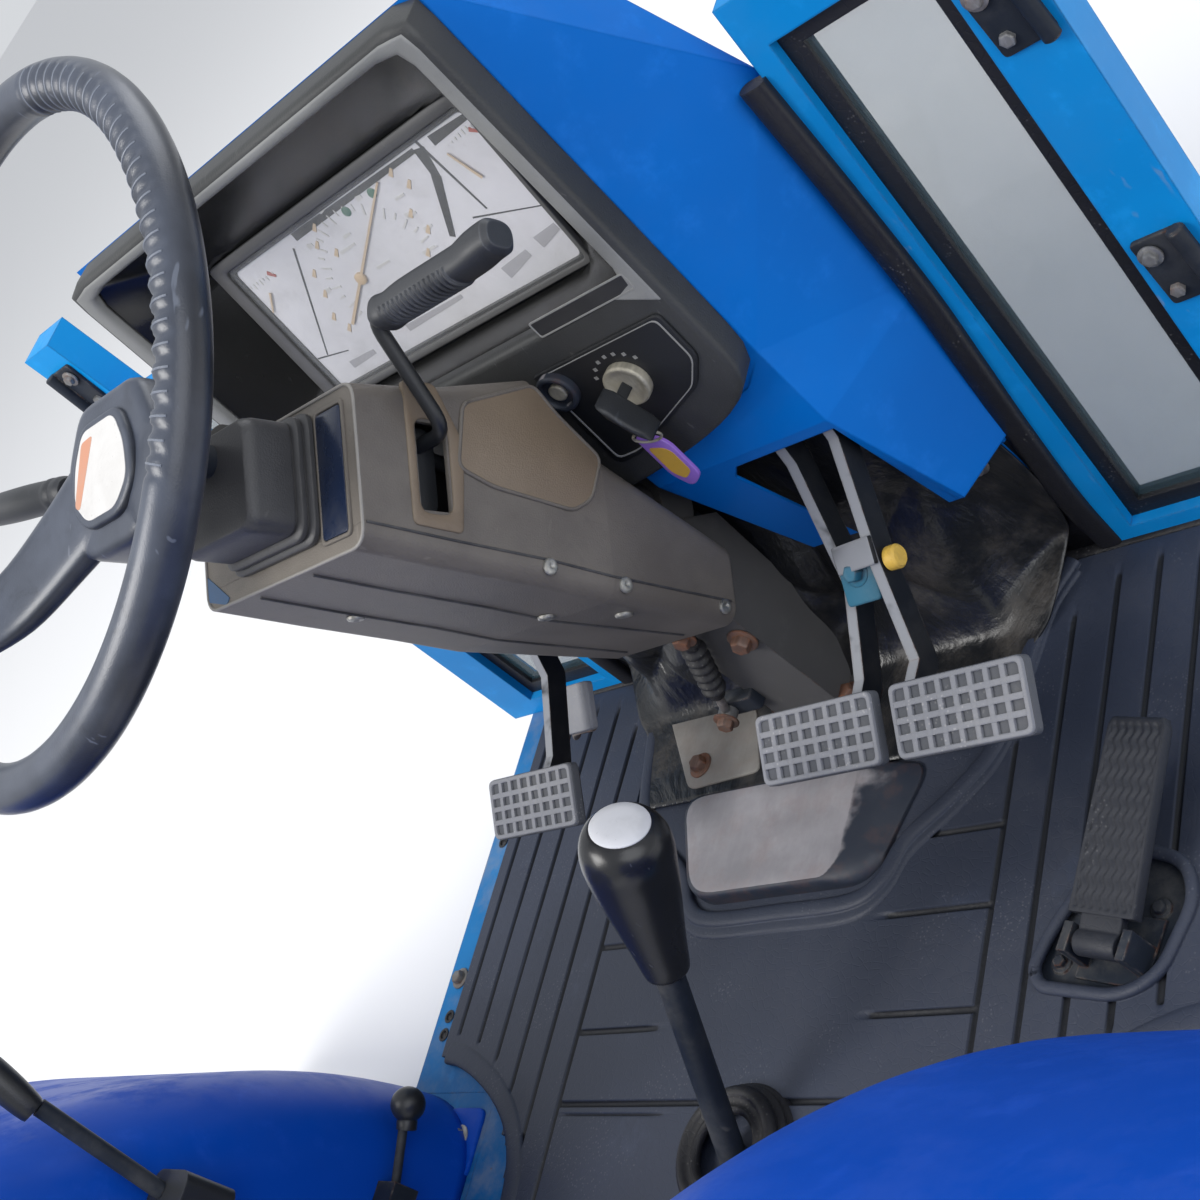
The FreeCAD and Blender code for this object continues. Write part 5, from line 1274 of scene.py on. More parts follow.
def ray_loop(corners: Sequence[tuple[float, float]], centre: tuple[float, float], count: int = 120,
             power: float = 26.0, grow: float = 0.0) -> np.ndarray:
    """A rounded loop round a convex outline: along each ray from a centre, the distance is the p-norm of the
    cosines to the edges' normals over the edges' distances, to the power of -1."""
    p = np.asarray(corners, float)
    along = np.roll(p, -1, 0) - p
    normal = np.column_stack([along[:, 1], -along[:, 0]])
    normal /= np.linalg.norm(normal, axis=1, keepdims=True)
    reach = ((p - np.asarray(centre)) * normal).sum(1)
    normal, reach = normal * np.sign(reach)[:, None], np.abs(reach) + grow
    angle = np.linspace(0, 2 * np.pi, count, endpoint=False)
    ray = np.column_stack([np.cos(angle), np.sin(angle)])
    pull = np.maximum(ray @ normal.T, 0) / reach
    return np.asarray(centre) + ray / ((pull**power).sum(1) ** (1 / power))[:, None]


@dataclass
class Dash:
    """The instrument pod: its deep rounded rim, the dial sheet in its tub, and the switch panel."""

    outline: tuple[tuple[float, float], ...] = ((-200, 636), (200, 636), (200, 358), (176, 340), (70, 318),
                                                (-70, 318), (-176, 340), (-200, 358))
    window: tuple[tuple[float, float], ...] = ((-183, 624), (183, 624), (183, 447), (-183, 447))
    gauge: tuple[tuple[float, float], ...] = ((-141, 572), (141, 572), (141, 446), (-141, 446))
    middle: tuple[float, float] = (0.0, 530.0)
    rim_depth: float = 16.0
    seat: float = 5.7

    @staticmethod
    def face(z: np.ndarray) -> np.ndarray:
        """Y of the leaning face: 240 plus 0.131 for each mm above 359."""
        return 240.0 + 0.131 * (z - 359.0)

    @staticmethod
    def on_gauge(skin: Skin) -> Skin:
        """Place a skin of the dial's own frame, with Z towards the driver."""
        turn = np.array([[1, 0, 0], [0, 0.2243, -0.9745], [0, 0.9745, 0.2243]])
        return skin.moved(turn, (0, 282, 446))

    def on_pod(self, skin: Skin, x: float, z: float, lift: float = 0.0) -> Skin:
        """Place a skin on the rim's outer face, with Z towards the driver."""
        turn = np.array([[1, 0, 0], [0, 0.1299, -0.9915], [0, 0.9915, 0.1299]])
        base = np.array([x, self.face(np.array(z)) - self.rim_depth, z]) + lift * turn[:, 2]
        return skin.moved(turn, base)

    def row(self, corners: Sequence[tuple[float, float]], off: float, grow: float = 0.0,
            power: float = 26.0) -> np.ndarray:
        """A loop round an outline, set back from the leaning face."""
        loop = ray_loop(corners, self.middle, power=power, grow=grow)
        return np.column_stack([loop[:, 0], self.face(loop[:, 1]) + off, loop[:, 1]])

    def gauge_row(self, grow: float, off: float) -> np.ndarray:
        """A loop round the dial, on its own leaning plane."""
        loop = ray_loop(self.gauge, self.middle, power=30.0, grow=grow)
        return np.column_stack([loop[:, 0], 282 + (loop[:, 1] - 446) * 29 / 126 + off, loop[:, 1]])

    def housing(self) -> None:
        """The rim as loops from its back edge over both rounded lips, and the tub as loops to the dial."""
        front = -self.rim_depth
        rows = [self.row(self.outline, self.seat, -0.4, 40), self.row(self.outline, front + 5, 0, 40),
                self.row(self.outline, front + 2.2, -0.6, 40), self.row(self.outline, front + 0.6, -2.2, 40),
                self.row(self.outline, front, -4.5, 40), self.row(self.window, front, 6.0),
                self.row(self.window, front + 0.7, 3.0), self.row(self.window, front + 2.4, 1.0),
                self.row(self.window, front + 5.5, 0.0), self.row(self.window, self.seat, 2.0)]
        put("pod_rim", grid_skin(np.array(rows), True, True), POD_SKIN, Body.PLATFORM,
            ("pod_housing",), sharp=50.0)
        # The pale face band covers only the upper part of the loop: a painted highlight on the rim.
        face = [self.row(self.outline, front + 0.6, -4.0, 40), self.row(self.outline, front - 0.5, -5.0, 40),
                self.row(self.outline, front - 0.6, -6.0, 40), self.row(self.window, front - 0.6, 4.4),
                self.row(self.window, front + 0.1, 2.4), self.row(self.window, front + 1.9, 0.6),
                self.row(self.window, front + 5.0, -0.4), self.row(self.window, front + 5.4, 0.4),
                self.row(self.window, front + 2.2, 3.0), self.row(self.window, front + 0.8, 5.0)]
        over = np.arange(-9, 70) % 120
        put("pod_highlight_band", tube_skin(np.array(face)[:, over].transpose(1, 0, 2)), POD_HIGHLIGHT, Body.PLATFORM,
            sharp=50.0)
        near, far = self.row(self.window, front + 6, 0.6), self.gauge_row(0.0, -3.0)
        steps = [near + (far - near) * t for t in (0, 0.25, 0.5, 0.75, 1.0)]
        back = [self.gauge_row(0.0, 0.0), self.gauge_row(3.0, 1.0), near + np.array([0, 4.0, 0])]
        back[2][:, 0] *= 1.014
        put("pod_tub", grid_skin(np.array(steps + back), True, True), POD_INNER, Body.PLATFORM,
            sharp=40.0)
        back_plate = slab(ray_loop([(-142, -1), (142, -1), (142, 130), (-142, 130)], (0, 65), 60), -4.0, -2.0)
        put("pod_back", self.on_gauge(back_plate), POD_INNER, Body.PLATFORM)

    def flat_bar(self, start: tuple[float, float], end: tuple[float, float], width: float, low: float,
                 high: float) -> Skin:
        """A thin bar between two points of the dial."""
        a, b = np.array(start, float), np.array(end, float)
        way = (b - a) / np.linalg.norm(b - a)
        side = np.array([-way[1], way[0]]) * width / 2
        return slab(np.array([a - side, b - side * 0.6, b + side * 0.6, a + side]), low, high)

    def dial(self) -> None:
        """The sheet, its dark bands, arcs of ticks, the needles and the lamps, under a clear lens."""
        sheet = slab(rounded_outline([(-140, 1), (140, 1), (140, 128), (-140, 128)], 3, 3), 0.2, 2.6)
        put("dial_sheet", self.on_gauge(sheet), DIAL, Body.PLATFORM, ("gauge_face",))
        outer = rounded_outline([(-140.5, 0.6), (140.5, 0.6), (140.5, 128.6), (-140.5, 128.6)], 4, 5)
        for name, inner, low, high, finish in (
                ("dial_bezel", [(-128, 7), (137, 4), (137, 120), (-128, 120)], 2.4, 7.0, BEZEL),
                ("dial_bezel_step", [(-124, 10), (134, 7), (134, 116), (-124, 116)], 2.4, 4.4, DIAL_DARK)):
            ring = ring_slab(outer, rounded_outline(inner, 5, 5), low, high, 0.8)
            put(name, self.on_gauge(ring), finish, Body.PLATFORM)
        dark = [self.flat_bar(a, b, w, 2.5, 2.9) for a, b, w in (
            ((-52, 112.5), (84, 112.5), 6), ((100, 111), (133, 111), 7), ((-60, 107), (-112, 35), 1.6),
            ((88, 112), (84, 92), 9), ((84, 93), (60, 57), 7), ((90, 116), (98, 60), 2.0),
            ((84, 60), (134, 44), 1.2), ((-123, 36), (-92, 30), 1.2))]
        put("dial_bands", self.on_gauge(dark[0].joined(*dark[1:])), DIAL_DARK, Body.PLATFORM)
        pale = [self.flat_bar(a, b, w, 2.5, 2.9) for a, b, w in (
            ((74, 20), (100, 24), 9), ((112, 26), (132, 29), 9), ((-30, 22), (30, 22), 5), ((-100, 20), (-72, 20), 6))]
        put("dial_pale", self.on_gauge(pale[0].joined(*pale[1:])), DIAL_GREY, Body.PLATFORM)
        angle = np.radians(np.concatenate([np.arange(-12, 204, 9.0)]))
        centre = np.array([-8.0, 60.0])
        ray = np.column_stack([np.cos(angle), np.sin(angle)])
        ticks = [self.flat_bar(tuple(centre + r * (47 if i % 2 else 44)), tuple(centre + r * 52), 1.5, 2.5, 3.1)
                 for i, r in enumerate(ray)]
        blocks = [self.flat_bar(tuple(centre + r * 56.5 - (2.6, 0)), tuple(centre + r * 56.5 + (2.6, 0)), 4.0, 2.5, 3.0)
                  for r in ray[::4]]
        side = [self.flat_bar((x, 103), (x, 99 if k % 2 else 101), 1.3, 2.5, 3.0)
                for k, x in enumerate(np.linspace(-122, -94, 8))]
        side += [self.flat_bar((x, 107 - abs(x - 126) * 0.2), (x, 103), 1.6, 2.5, 3.0)
                 for x in np.linspace(108, 132, 7)]
        bits = [self.flat_bar((x, y), (x + w, y), 2.6, 2.5, 3.0) for x, y, w in (
            (-28, 87, 16), (-12, 66, 14), (44, 95, 9), (42, 82, 8), (45, 70, 8), (30, 58, 12), (-16, 94, 8))]
        marks = ticks + side + bits
        put("dial_marks", self.on_gauge(marks[0].joined(*marks[1:], *blocks)), INK_WHITE, Body.PLATFORM)
        bars = [self.flat_bar((x - 2.5, y - 2), (x + 2.5, y + 2), 3.2, 2.5, 3.1) for x, y in (
            (-30, 110), (-40, 100), (-31, 89), (-62, 86), (-68, 71), (-78, 55), (-74, 43), (57, 110), (62, 98),
            (46, 83), (48, 69), (34, 57))]
        put("dial_cream_marks", self.on_gauge(bars[0].joined(*bars[1:])), INK_CREAM, Body.PLATFORM)
        needles = [self.flat_bar((-68, 44), (43, 110), 2.2, 3.4, 4.1), self.flat_bar((-110, 92), (-122, 80), 1.6, 3.4, 4.1),
                   self.flat_bar((113, 77), (104, 100), 1.8, 3.4, 4.1)]
        pivot = lathe([(4.5, 2.6), (4.5, 4.2), (3.2, 4.8)], 20).moved(np.eye(3), (-30, 66.5, 0))
        put("dial_needles", self.on_gauge(needles[0].joined(*needles[1:], pivot)), INK_CREAM, Body.PLATFORM)
        lamps = [lathe([(3.6, 2.5), (3.6, 3.0), (2.4, 3.5)], 20).moved(np.eye(3), (x, 106.5, 0)) for x in (32, 3)]
        put("dial_lamps", self.on_gauge(lamps[0].joined(lamps[1])), INK_GREEN, Body.PLATFORM)
        red = [self.flat_bar((-98, 104), (-93, 99), 3.2, 2.5, 3.1), self.flat_bar((129, 104), (134, 100), 3.0, 2.5, 3.1)]
        put("dial_red", self.on_gauge(red[0].joined(red[1])), INK_RED, Body.PLATFORM)
        lens = slab(rounded_outline([(-139, 1.5), (139, 1.5), (139, 127.5), (-139, 127.5)], 4, 4), 4.4, 4.9)
        put("dial_lens", self.on_gauge(lens), LENS, Body.PLATFORM, ("gauge_lens",))

    def panel(self) -> None:
        """The switch panel with its grey border, marks, the bare label strip, lock, key, tag and lighter."""
        corners = [(-60, 31), (54, 31), (54, -5), (37, -23), (-40, -51), (-61, -51)]
        plate = slab(rounded_outline(corners, 5, 5), 0.0, 2.4, 0.8)
        put("switch_plate", self.on_pod(plate, 133, 394), PANEL_SKIN, Body.PLATFORM,
            ("switch_panel",))
        shrink = np.array([0.94, 0.93])
        line_out = rounded_outline(np.array(corners) * shrink, 5, 5)
        border = ring_slab(line_out, line_out * 0.975, 2.2, 2.75, 0.2)
        label_out = rounded_outline([(-42, 50), (42, 50), (42, 62.5), (-42, 62.5)], 2, 4)
        label_in = rounded_outline([(-40.8, 51.2), (40.8, 51.2), (40.8, 61.3), (-40.8, 61.3)], 1.4, 4)
        label = ring_slab(label_out, label_in, 0.0, 0.8, 0.2)
        arc = np.radians(np.arange(35, 150, 19.0))
        ticks = [slab(np.array([(x - 1.2, y - 1.2), (x + 1.2, y - 1.2), (x + 1.2, y + 1.2), (x - 1.2, y + 1.2)]),
                      2.2, 2.75) for x, y in zip(21.5 * np.cos(arc), 21.5 * np.sin(arc))]
        side = self.on_pod(label, 146, 394)
        put("panel_lines", self.on_pod(border.joined(*ticks), 133, 394).joined(side), INK_GREY, Body.PLATFORM)
        strip = slab(label_in, 0.0, 0.5)
        put("panel_label", self.on_pod(strip, 146, 394), DIAL_DARK, Body.PLATFORM)
        ring = lathe([(15.2, 2.4), (15.2, 7.4), (14.2, 8.6), (12.6, 8.6), (11.2, 7.6), (8.4, 7.0), (4.0, 6.9)], 36)
        put("ignition_barrel", self.on_pod(ring, 133, 394), NICKEL, Body.PLATFORM,
            ("ignition_switch",))
        blade = box(-1.4, 1.4, -3.6, 3.6, 6.5, 19, 0.8, 0.5)
        bow_line = ray_loop([(-2.2, -28), (2.2, -28), (2.2, 12), (-2.2, 12)], (0, -8), 40, 8.0)
        bow = slab(bow_line, 17.5, 35.5, 3.0)
        turn = np.array([[math.cos(0.35), -math.sin(0.35), 0], [math.sin(0.35), math.cos(0.35), 0], [0, 0, 1]])
        put("key_bow", self.on_pod(bow.joined(blade).moved(turn, (0, 0, 0)), 133, 394), BLACK_SKIN, Body.PLATFORM,
            ("ignition_key",))
        angle = np.linspace(0, 2 * np.pi, 36)
        loop = np.column_stack([9.0 * np.cos(angle), 9.0 * np.sin(angle) * 0.8, 4 * np.sin(angle)]) + (-3, -29, 22)
        put("key_ring", self.on_pod(sweep(loop, 0.9, (0.2, 0.3, 1), 8), 133, 394), NICKEL, Body.PLATFORM)
        tag = rounded_outline([(-7, -36), (-21, -30), (-21, -66), (-14, -80), (-2, -74), (-2, -44)], 5, 5)
        put("key_tag", self.on_pod(slab(tag, 12.0, 14.6, 1.0), 133, 394), TAG_PURPLE, Body.PLATFORM)
        centre = rounded_outline([(-8, -45), (-18, -41), (-18, -64), (-13, -72), (-5, -68), (-5, -50)], 3, 4)
        put("key_tag_card", self.on_pod(slab(centre, 14.2, 15.0), 133, 394), TAG_YELLOW, Body.PLATFORM)
        well = lathe([(14.2, 2.4), (14.2, 7.0), (13.0, 8.2), (11.0, 8.2), (10.2, 7.0), (10.2, 3.6), (6.0, 3.4)], 32)
        put("lighter_ring", self.on_pod(well, 84, 409), STEEL_COVER, Body.PLATFORM,
            ("lighter_socket",))
        core = lathe([(6.2, 3.0), (6.2, 5.8), (5.2, 6.6), (3.0, 6.2)], 24)
        put("lighter_core", self.on_pod(core, 84, 409), NICKEL, Body.PLATFORM)

    def build(self) -> None:
        """Make the dash."""
        self.housing()
        self.dial()
        self.panel()


@dataclass
class Liner:
    """The moulded vinyl liner of the toe board, with a skirt on the floor and slack folds."""

    line: tuple[tuple[float, float], ...] = ((148.5, 61.2), (190, 61.4), (215, 62.0), (232, 66), (243, 84), (252, 118),
                                             (262, 150), (272, 182), (280, 230), (286, 282), (289, 318), (290, 345))
    widths: tuple[float, ...] = (178, 184, 189, 203, 222, 233, 236, 236, 234, 232, 230, 228)

    def build(self) -> None:
        """Columns spread by the width of each row; depth is the toe line, eased to the bulkhead at the sides, less
        folds that are ridges of bent sine waves."""
        rows = smooth_line([(*p, w) for p, w in zip(self.line, self.widths)], 9)
        u = np.linspace(-1, 1, 150)
        y, z, w = (np.broadcast_to(rows[:, i:i + 1], (len(rows), len(u))) for i in range(3))
        x = u * w
        wallward = smoothstep(np.abs(x), 160, 218) * smoothstep(z, 62, 84)
        up = smoothstep(z, 66, 110)
        room = np.clip(290 - y, 0, 40) * 0.45
        ridge_a = 1 - np.abs(np.sin(x / 41 + 0.9 * np.sin(z / 47) + z / 90))
        ridge_b = 1 - np.abs(np.sin(x / 67 - z / 52 + 1.1))
        ridge_c = 1 - np.abs(np.sin(x / 23 + z / 31 + 0.7 * np.sin(x / 50)))
        fold = room * (0.75 * ridge_a**2.2 + 0.65 * ridge_b**3 + 0.25 * ridge_c**3)
        depth = y + (288.5 - y) * wallward + fold * up * (1 - wallward)
        depth = np.minimum(depth, 290.5)
        lift = (1 - up) * (1.6 * ridge_c**2 + 2.2 * ridge_b**4) * (1 - smoothstep(np.abs(x), 150, 180))
        lift = lift * smoothstep(x, -42, -20)
        grid = np.stack([x, depth, z + lift], -1)
        skin = grid_skin(grid[::-1])
        put("toe_liner", skin, LINER, Body.PLATFORM, ("firewall_cover",), wall=1.5, sharp=80.0, closed=False)
        plate = rounded_outline([(-168, 232), (-66, 222), (-46, 162), (-122, 158)], 8, 4)
        flat = slab(plate, 60.5, 64.4, 0.8)
        put("toe_plate", flat, TOE_STEEL, Body.PLATFORM)
        bolt = hexagon(7.0, 8.0).moved(np.eye(3), (-114, 178, 64.2))
        put("toe_bolt", bolt, RUSTY, Body.PLATFORM)
        heights = np.array([56.0, 90, 130, 180, 215])
        inner = np.column_stack([(198, 220, 228, 229, 228), (289, 291, 291, 291, 291), heights])
        outer = np.column_stack([(239.5, 240, 242, 247, 251.5), (288, 289, 292, 297.5, 301), heights])
        flap = grid_skin(inner[:, None] + (outer - inner)[:, None] * np.linspace(0, 1, 6)[None, :, None])
        put("liner_flaps", flap.joined(flap.mirrored()), SEAL, Body.PLATFORM, wall=1.2, closed=False)
        studs = [hexagon(5.5, 6.0).moved(facing((0, -1, 0)), (px, py, pz)) for px, py, pz in
                 ((150, 272, 150), (-60, 268, 158), (210, 287, 170), (-210, 287, 170))]
        put("liner_studs", studs[0].joined(*studs[1:]), STEEL_WORN, Body.PLATFORM)


@dataclass
class Pedals:
    """Clutch and brake pedals: waffle pads on plate arms, the latch that joins the brakes, and their shaft."""

    width: float = 97.0
    height: float = 46.0
    columns: int = 8
    rows: int = 4
    rubber: float = 9.0
    top: tuple[float, float] = (114.0, 193.0)
    tilt: float = 30.0

    def pad(self, name: str, x: float, body: Body, node: str) -> None:
        """A rounded rubber plate under a raised grid of bars."""
        c, s = math.cos(math.radians(self.tilt)), math.sin(math.radians(self.tilt))
        turn = np.array([[1, 0, 0], [0, c, -s], [0, s, c]])
        w, h = self.width, self.height
        plate = slab(rounded_outline([(0, -h), (w, -h), (w, 0), (0, 0)], 5, 5), -self.rubber, -2.4, 0.8)
        rim = ring_slab(rounded_outline([(0.6, -h + 0.6), (w - 0.6, -h + 0.6), (w - 0.6, -0.6), (0.6, -0.6)], 5, 5),
                        rounded_outline([(4, -h + 4), (w - 4, -h + 4), (w - 4, -4), (4, -4)], 3, 5), -3.0, -0.3, 0.7)
        bars = [box(bx - 1.9, bx + 1.9, -h + 3, -3, -3.0, -0.35, 0.3, 0.4)
                for bx in np.linspace(3, w - 3, self.columns + 1)[1:-1]]
        bars += [box(3, w - 3, by - 1.9, by + 1.9, -3.0, -0.3, 0.3, 0.4)
                 for by in np.linspace(-h + 3, -3, self.rows + 1)[1:-1]]
        put(name, plate.moved(turn, (x - w / 2, *self.top)), PAD_SUNK, body, (node,))
        grid = rim.joined(*bars).moved(turn, (x - w / 2, *self.top))
        put(name + "_grid", grid, PAD, body)

    def hardware(self) -> None:
        """The latch's bolt and tongue, the yellow bumper, a return spring, and pivot collars."""
        turn = np.array([[1, 0, 0], [0, math.cos(0.698), -math.sin(0.698)], [0, math.sin(0.698), math.cos(0.698)]])
        tongue = box(-17, 10, -20, 18, 2.6, 5.6, 3, 1.0).moved(turn, (172, 192, 210))
        put("latch_tongue", tongue, LATCH_TEAL, Body.BRAKES)
        lean = math.radians(-19.0)
        swing = np.array([[math.cos(lean), 0, math.sin(lean)], [0, 1, 0], [-math.sin(lean), 0, math.cos(lean)]])
        bar = box(0, 43, 1, 19, 0, 3, 2, 0.8).moved(swing, (-16, 0, 4.4)).moved(turn, (172, 192, 210))
        put("latch_bar", bar, STEEL_ARM, Body.BRAKES)
        bolt = hexagon(6.0, 8.0).moved(turn @ facing((0, 0, 1), (0, 1, 0)), (168, 189, 213.5))
        put("latch_bolt", bolt, LATCH_TEAL, Body.BRAKES)
        stop = lathe([(6.0, 0), (7.8, 1.5), (7.8, 8), (6.4, 9.6), (3, 10)], 24).moved(
            facing((1, 0, 0), (0, 0, 1)), (196, 189, 217))
        put("brake_bumper", stop, BUMPER, Body.BRAKES)
        collars = [lathe([(9.0, -3), (12.0, -2.4), (12.0, 2.4), (9.0, 3)], 28).moved(
            facing((1, 0, 0), (0, 0, 1)), (px, 264, 322)) for px in (139.0, 206.0)]
        put("pivot_collars", collars[0].joined(collars[1]), STEEL_BRIGHT, Body.PLATFORM)
        tilt = math.radians(self.tilt)
        level = np.array([[1, 0, 0], [0, math.cos(tilt), -math.sin(tilt)], [0, math.sin(tilt), math.cos(tilt)]])
        step = box(-17, 17, -38, 0, -6, 0, 4, 1.5).moved(level, (-161, 203, 172))
        put("clutch_step", step, PAD, Body.CLUTCH)
        hook = bent_line([(-150, 176, 148), (-168, 178, 146), (-192, 186, 134), (-206, 192, 122)], 10.0)
        put("clutch_hook", sweep(hook, 4.2, (0, 0, 1), 12, 0.7), RUSTY, Body.CLUTCH)
        t = np.linspace(0, 1, 260)
        start, end = np.array([-168.0, 276, 250]), np.array([-168.0, 284, 310])
        coil = start + (end - start) * t[:, None]
        coil = coil + 5.0 * np.column_stack([np.cos(t * 22 * np.pi), np.sin(t * 22 * np.pi), np.zeros(260)])
        put("return_spring", sweep(coil, 0.9, (0.1, 0.2, 1), 6), STEEL_BRIGHT, Body.PLATFORM)

    def build(self) -> None:
        """Make the pedals."""
        self.pad("clutch_rubber", -154.0, Body.CLUTCH, "clutch_pad")
        self.pad("brake_rubber_left", 129.0, Body.BRAKES, "brake_left_pad")
        self.pad("brake_rubber_right", 239.0, Body.BRAKES, "brake_right_pad")
        self.hardware()
        paint_nodes(STEEL_ARM, "clutch_arm", "brake_left_arm", "brake_right_arm")
        paint_nodes(STEEL_DARK, "pedal_shaft")
        paint_nodes(BLUE_DECK, "pedal_bracket")
        paint_nodes(LATCH_TEAL, "brake_latch")


@dataclass
class Accelerator:
    """The foot throttle: a tread with wavy ribs on a hinge in the floor's well."""

    place: tuple[float, float, float] = (276.0, -8.0, 72.0)
    turn_deg: float = -13.0
    rise_deg: float = 11.0
    width: float = 46.0
    near: float = 16.0
    length: float = 132.0
    thick: float = 8.0
    rib_pitch: float = 5.6

    def set_down(self, skin: Skin) -> Skin:
        """Tip a skin by the pedal's rise about its pin, then turn it and place it."""
        r, t = math.radians(self.rise_deg), math.radians(self.turn_deg)
        tip = np.array([[1, 0, 0], [0, math.cos(r), -math.sin(r)], [0, math.sin(r), math.cos(r)]])
        turn = np.array([[math.cos(t), -math.sin(t), 0], [math.sin(t), math.cos(t), 0], [0, 0, 1]])
        pin = np.array([0, 0, 2.0])
        tipped = Skin((skin.points - pin) @ tip.T + pin, skin.faces)
        return tipped.moved(turn, self.place)

    def build(self) -> None:
        """The tread's height is a cosine across it whose phase waves along it, inside a raised border."""
        u, v = np.meshgrid(np.linspace(-1, 1, 74), np.linspace(0, 1, 120))
        y = self.near + (self.length - self.near) * v
        half = (self.width / 2 - 0.4) - 3 * v
        x = u * half
        corner = smoothstep(v, 0.93, 1.0) ** 2
        x = x * (1 - 0.12 * corner)
        wave = 0.5 + 0.5 * np.cos(2 * np.pi * (x + 1.3 * np.sin(2 * np.pi * y / 11.5)) / self.rib_pitch)
        border = np.maximum(smoothstep(np.abs(u), 0.86, 0.9), np.maximum(smoothstep(v, 0.955, 0.97),
                                                                        1 - smoothstep(v, 0.02, 0.035)))
        edge = np.maximum(smoothstep(np.abs(u), 0.97, 1.0), smoothstep(v, 0.99, 1.0))
        z = self.thick - 1.8 + 1.3 * wave**0.8 * (1 - border) + 1.4 * border - 1.2 * edge
        top = np.stack([x, y, z], -1)
        low = np.stack([x, y, np.zeros(x.shape)], -1)
        upper, lower = grid_skin(top), grid_skin(low)
        count = x.size
        index = np.arange(count).reshape(x.shape)
        loop = np.concatenate([index[0], index[1:, -1], index[-1, -2::-1], index[-2:0:-1, 0]])
        ahead = np.roll(loop, -1)
        walls = np.stack([loop, ahead, ahead + count, loop + count], -1).tolist()
        skin = upper.joined(Skin(lower.points, [face[::-1] for face in lower.faces]))
        skin.faces += [tuple(face) for face in walls]
        knuckle = lathe([(7.6, -14), (8.0, -13), (8.0, 13), (7.6, 14), (4.2, 14), (4.2, -14)], 28).moved(
            facing((1, 0, 0), (0, 0, 1)), (0, 0, 2))
        web = box(-14, 14, 3, 19, 0.2, 6, 2, 1.0)
        put("accelerator_tread", self.set_down(skin.joined(knuckle, web)), TREAD, Body.ACCELERATOR,
            ("accelerator_pedal",), sharp=45.0)
        paint_nodes(STEEL_DARK, "accelerator_base")


@dataclass
class GearLever:
    """The gear lever with its tapered knob and the rubber boot on the floor."""

    base: tuple[float, float, float] = (0.0, -145.0, 30.0)
    top: tuple[float, float, float] = (90.0, -6.0, 285.0)
    knob_length: float = 112.0
    boot_at: tuple[float, float] = (12.0, -126.0)
    nod_deg: float = 13.0
    nod_from: float = 66.0

    def nodded(self, skin: Skin, turn: np.ndarray) -> Skin:
        """Bend the knob's crown to the driver: the turn grows smoothly with height, about a level axis."""
        toward = turn.T @ np.array([0.8, -0.5, 0.0])
        toward = toward * (1, 1, 0) / np.linalg.norm(toward[:2])
        height = skin.points[:, 2] - self.nod_from
        angle = np.radians(self.nod_deg) * smoothstep(height, 0, 44)
        out = skin.points @ toward
        shift = out * (np.cos(angle) - 1) + np.maximum(height, 0) * np.sin(angle) * 0.55
        lift = -out * np.sin(angle)
        return Skin(skin.points + shift[:, None] * toward + lift[:, None] * np.array([0, 0, 1.0]), skin.faces)

    def build(self) -> None:
        """Knob, cap and boot are profiles turned about their axes."""
        base, top = np.array(self.base), np.array(self.top)
        way = (top - base) / np.linalg.norm(top - base)
        turn = facing(way, (0, 1, 0))
        foot = top - way * self.knob_length
        line = smooth_line([(12.4, 0), (14.2, 1.2), (15.4, 7), (16.6, 15), (19.2, 30), (22.6, 48), (26.0, 66),
                            (28.2, 82), (28.6, 91), (27.4, 99.5), (24.4, 106.0), (20.4, 110.0), (18.4, 111.0)], 4)
        bore = [(12.4, 0.0), (9.7, 0.0)]
        profile = [(9.7, 20.0), *bore[::-1], *[tuple(p) for p in line]]
        put("gear_knob_skin", self.nodded(lathe(profile, 56), turn).moved(turn, foot), KNOB_SKIN, Body.GEAR,
            ("gear_knob",))
        cap = lathe([(18.5, 109.5), (18.5, 111.6), (17.3, 112.6), (12.0, 113.2), (6.0, 113.5)], 48)
        put("gear_knob_badge", self.nodded(cap, turn).moved(turn, foot), CAP_WHITE, Body.GEAR,
            ("gear_knob_cap",))
        x, y = self.boot_at
        folds = [(50, 54), (50, 58), (47.5, 60.5), (44.5, 61.5), (46.5, 64.5), (43.5, 67.0), (41.5, 67.5),
                 (43.5, 70.5), (41.5, 73.5), (39.0, 75.6), (37.0, 76), (34.5, 74), (32.0, 71.5), (29.5, 72.5),
                 (27.5, 74.5), (25.5, 73.5), (24.0, 71.5), (24.0, 69.0), (33.0, 68.0), (36.0, 65), (36.0, 54)]
        put("gear_bellows", lathe(folds, 56).moved(np.eye(3), (x, y, 0)), BOOT, Body.PLATFORM,
            ("gear_boot",), sharp=70.0)
        paint_nodes(BLUE_FRAME, "gear_socket")
        paint_nodes(STEEL_DARK, "gear_shaft")


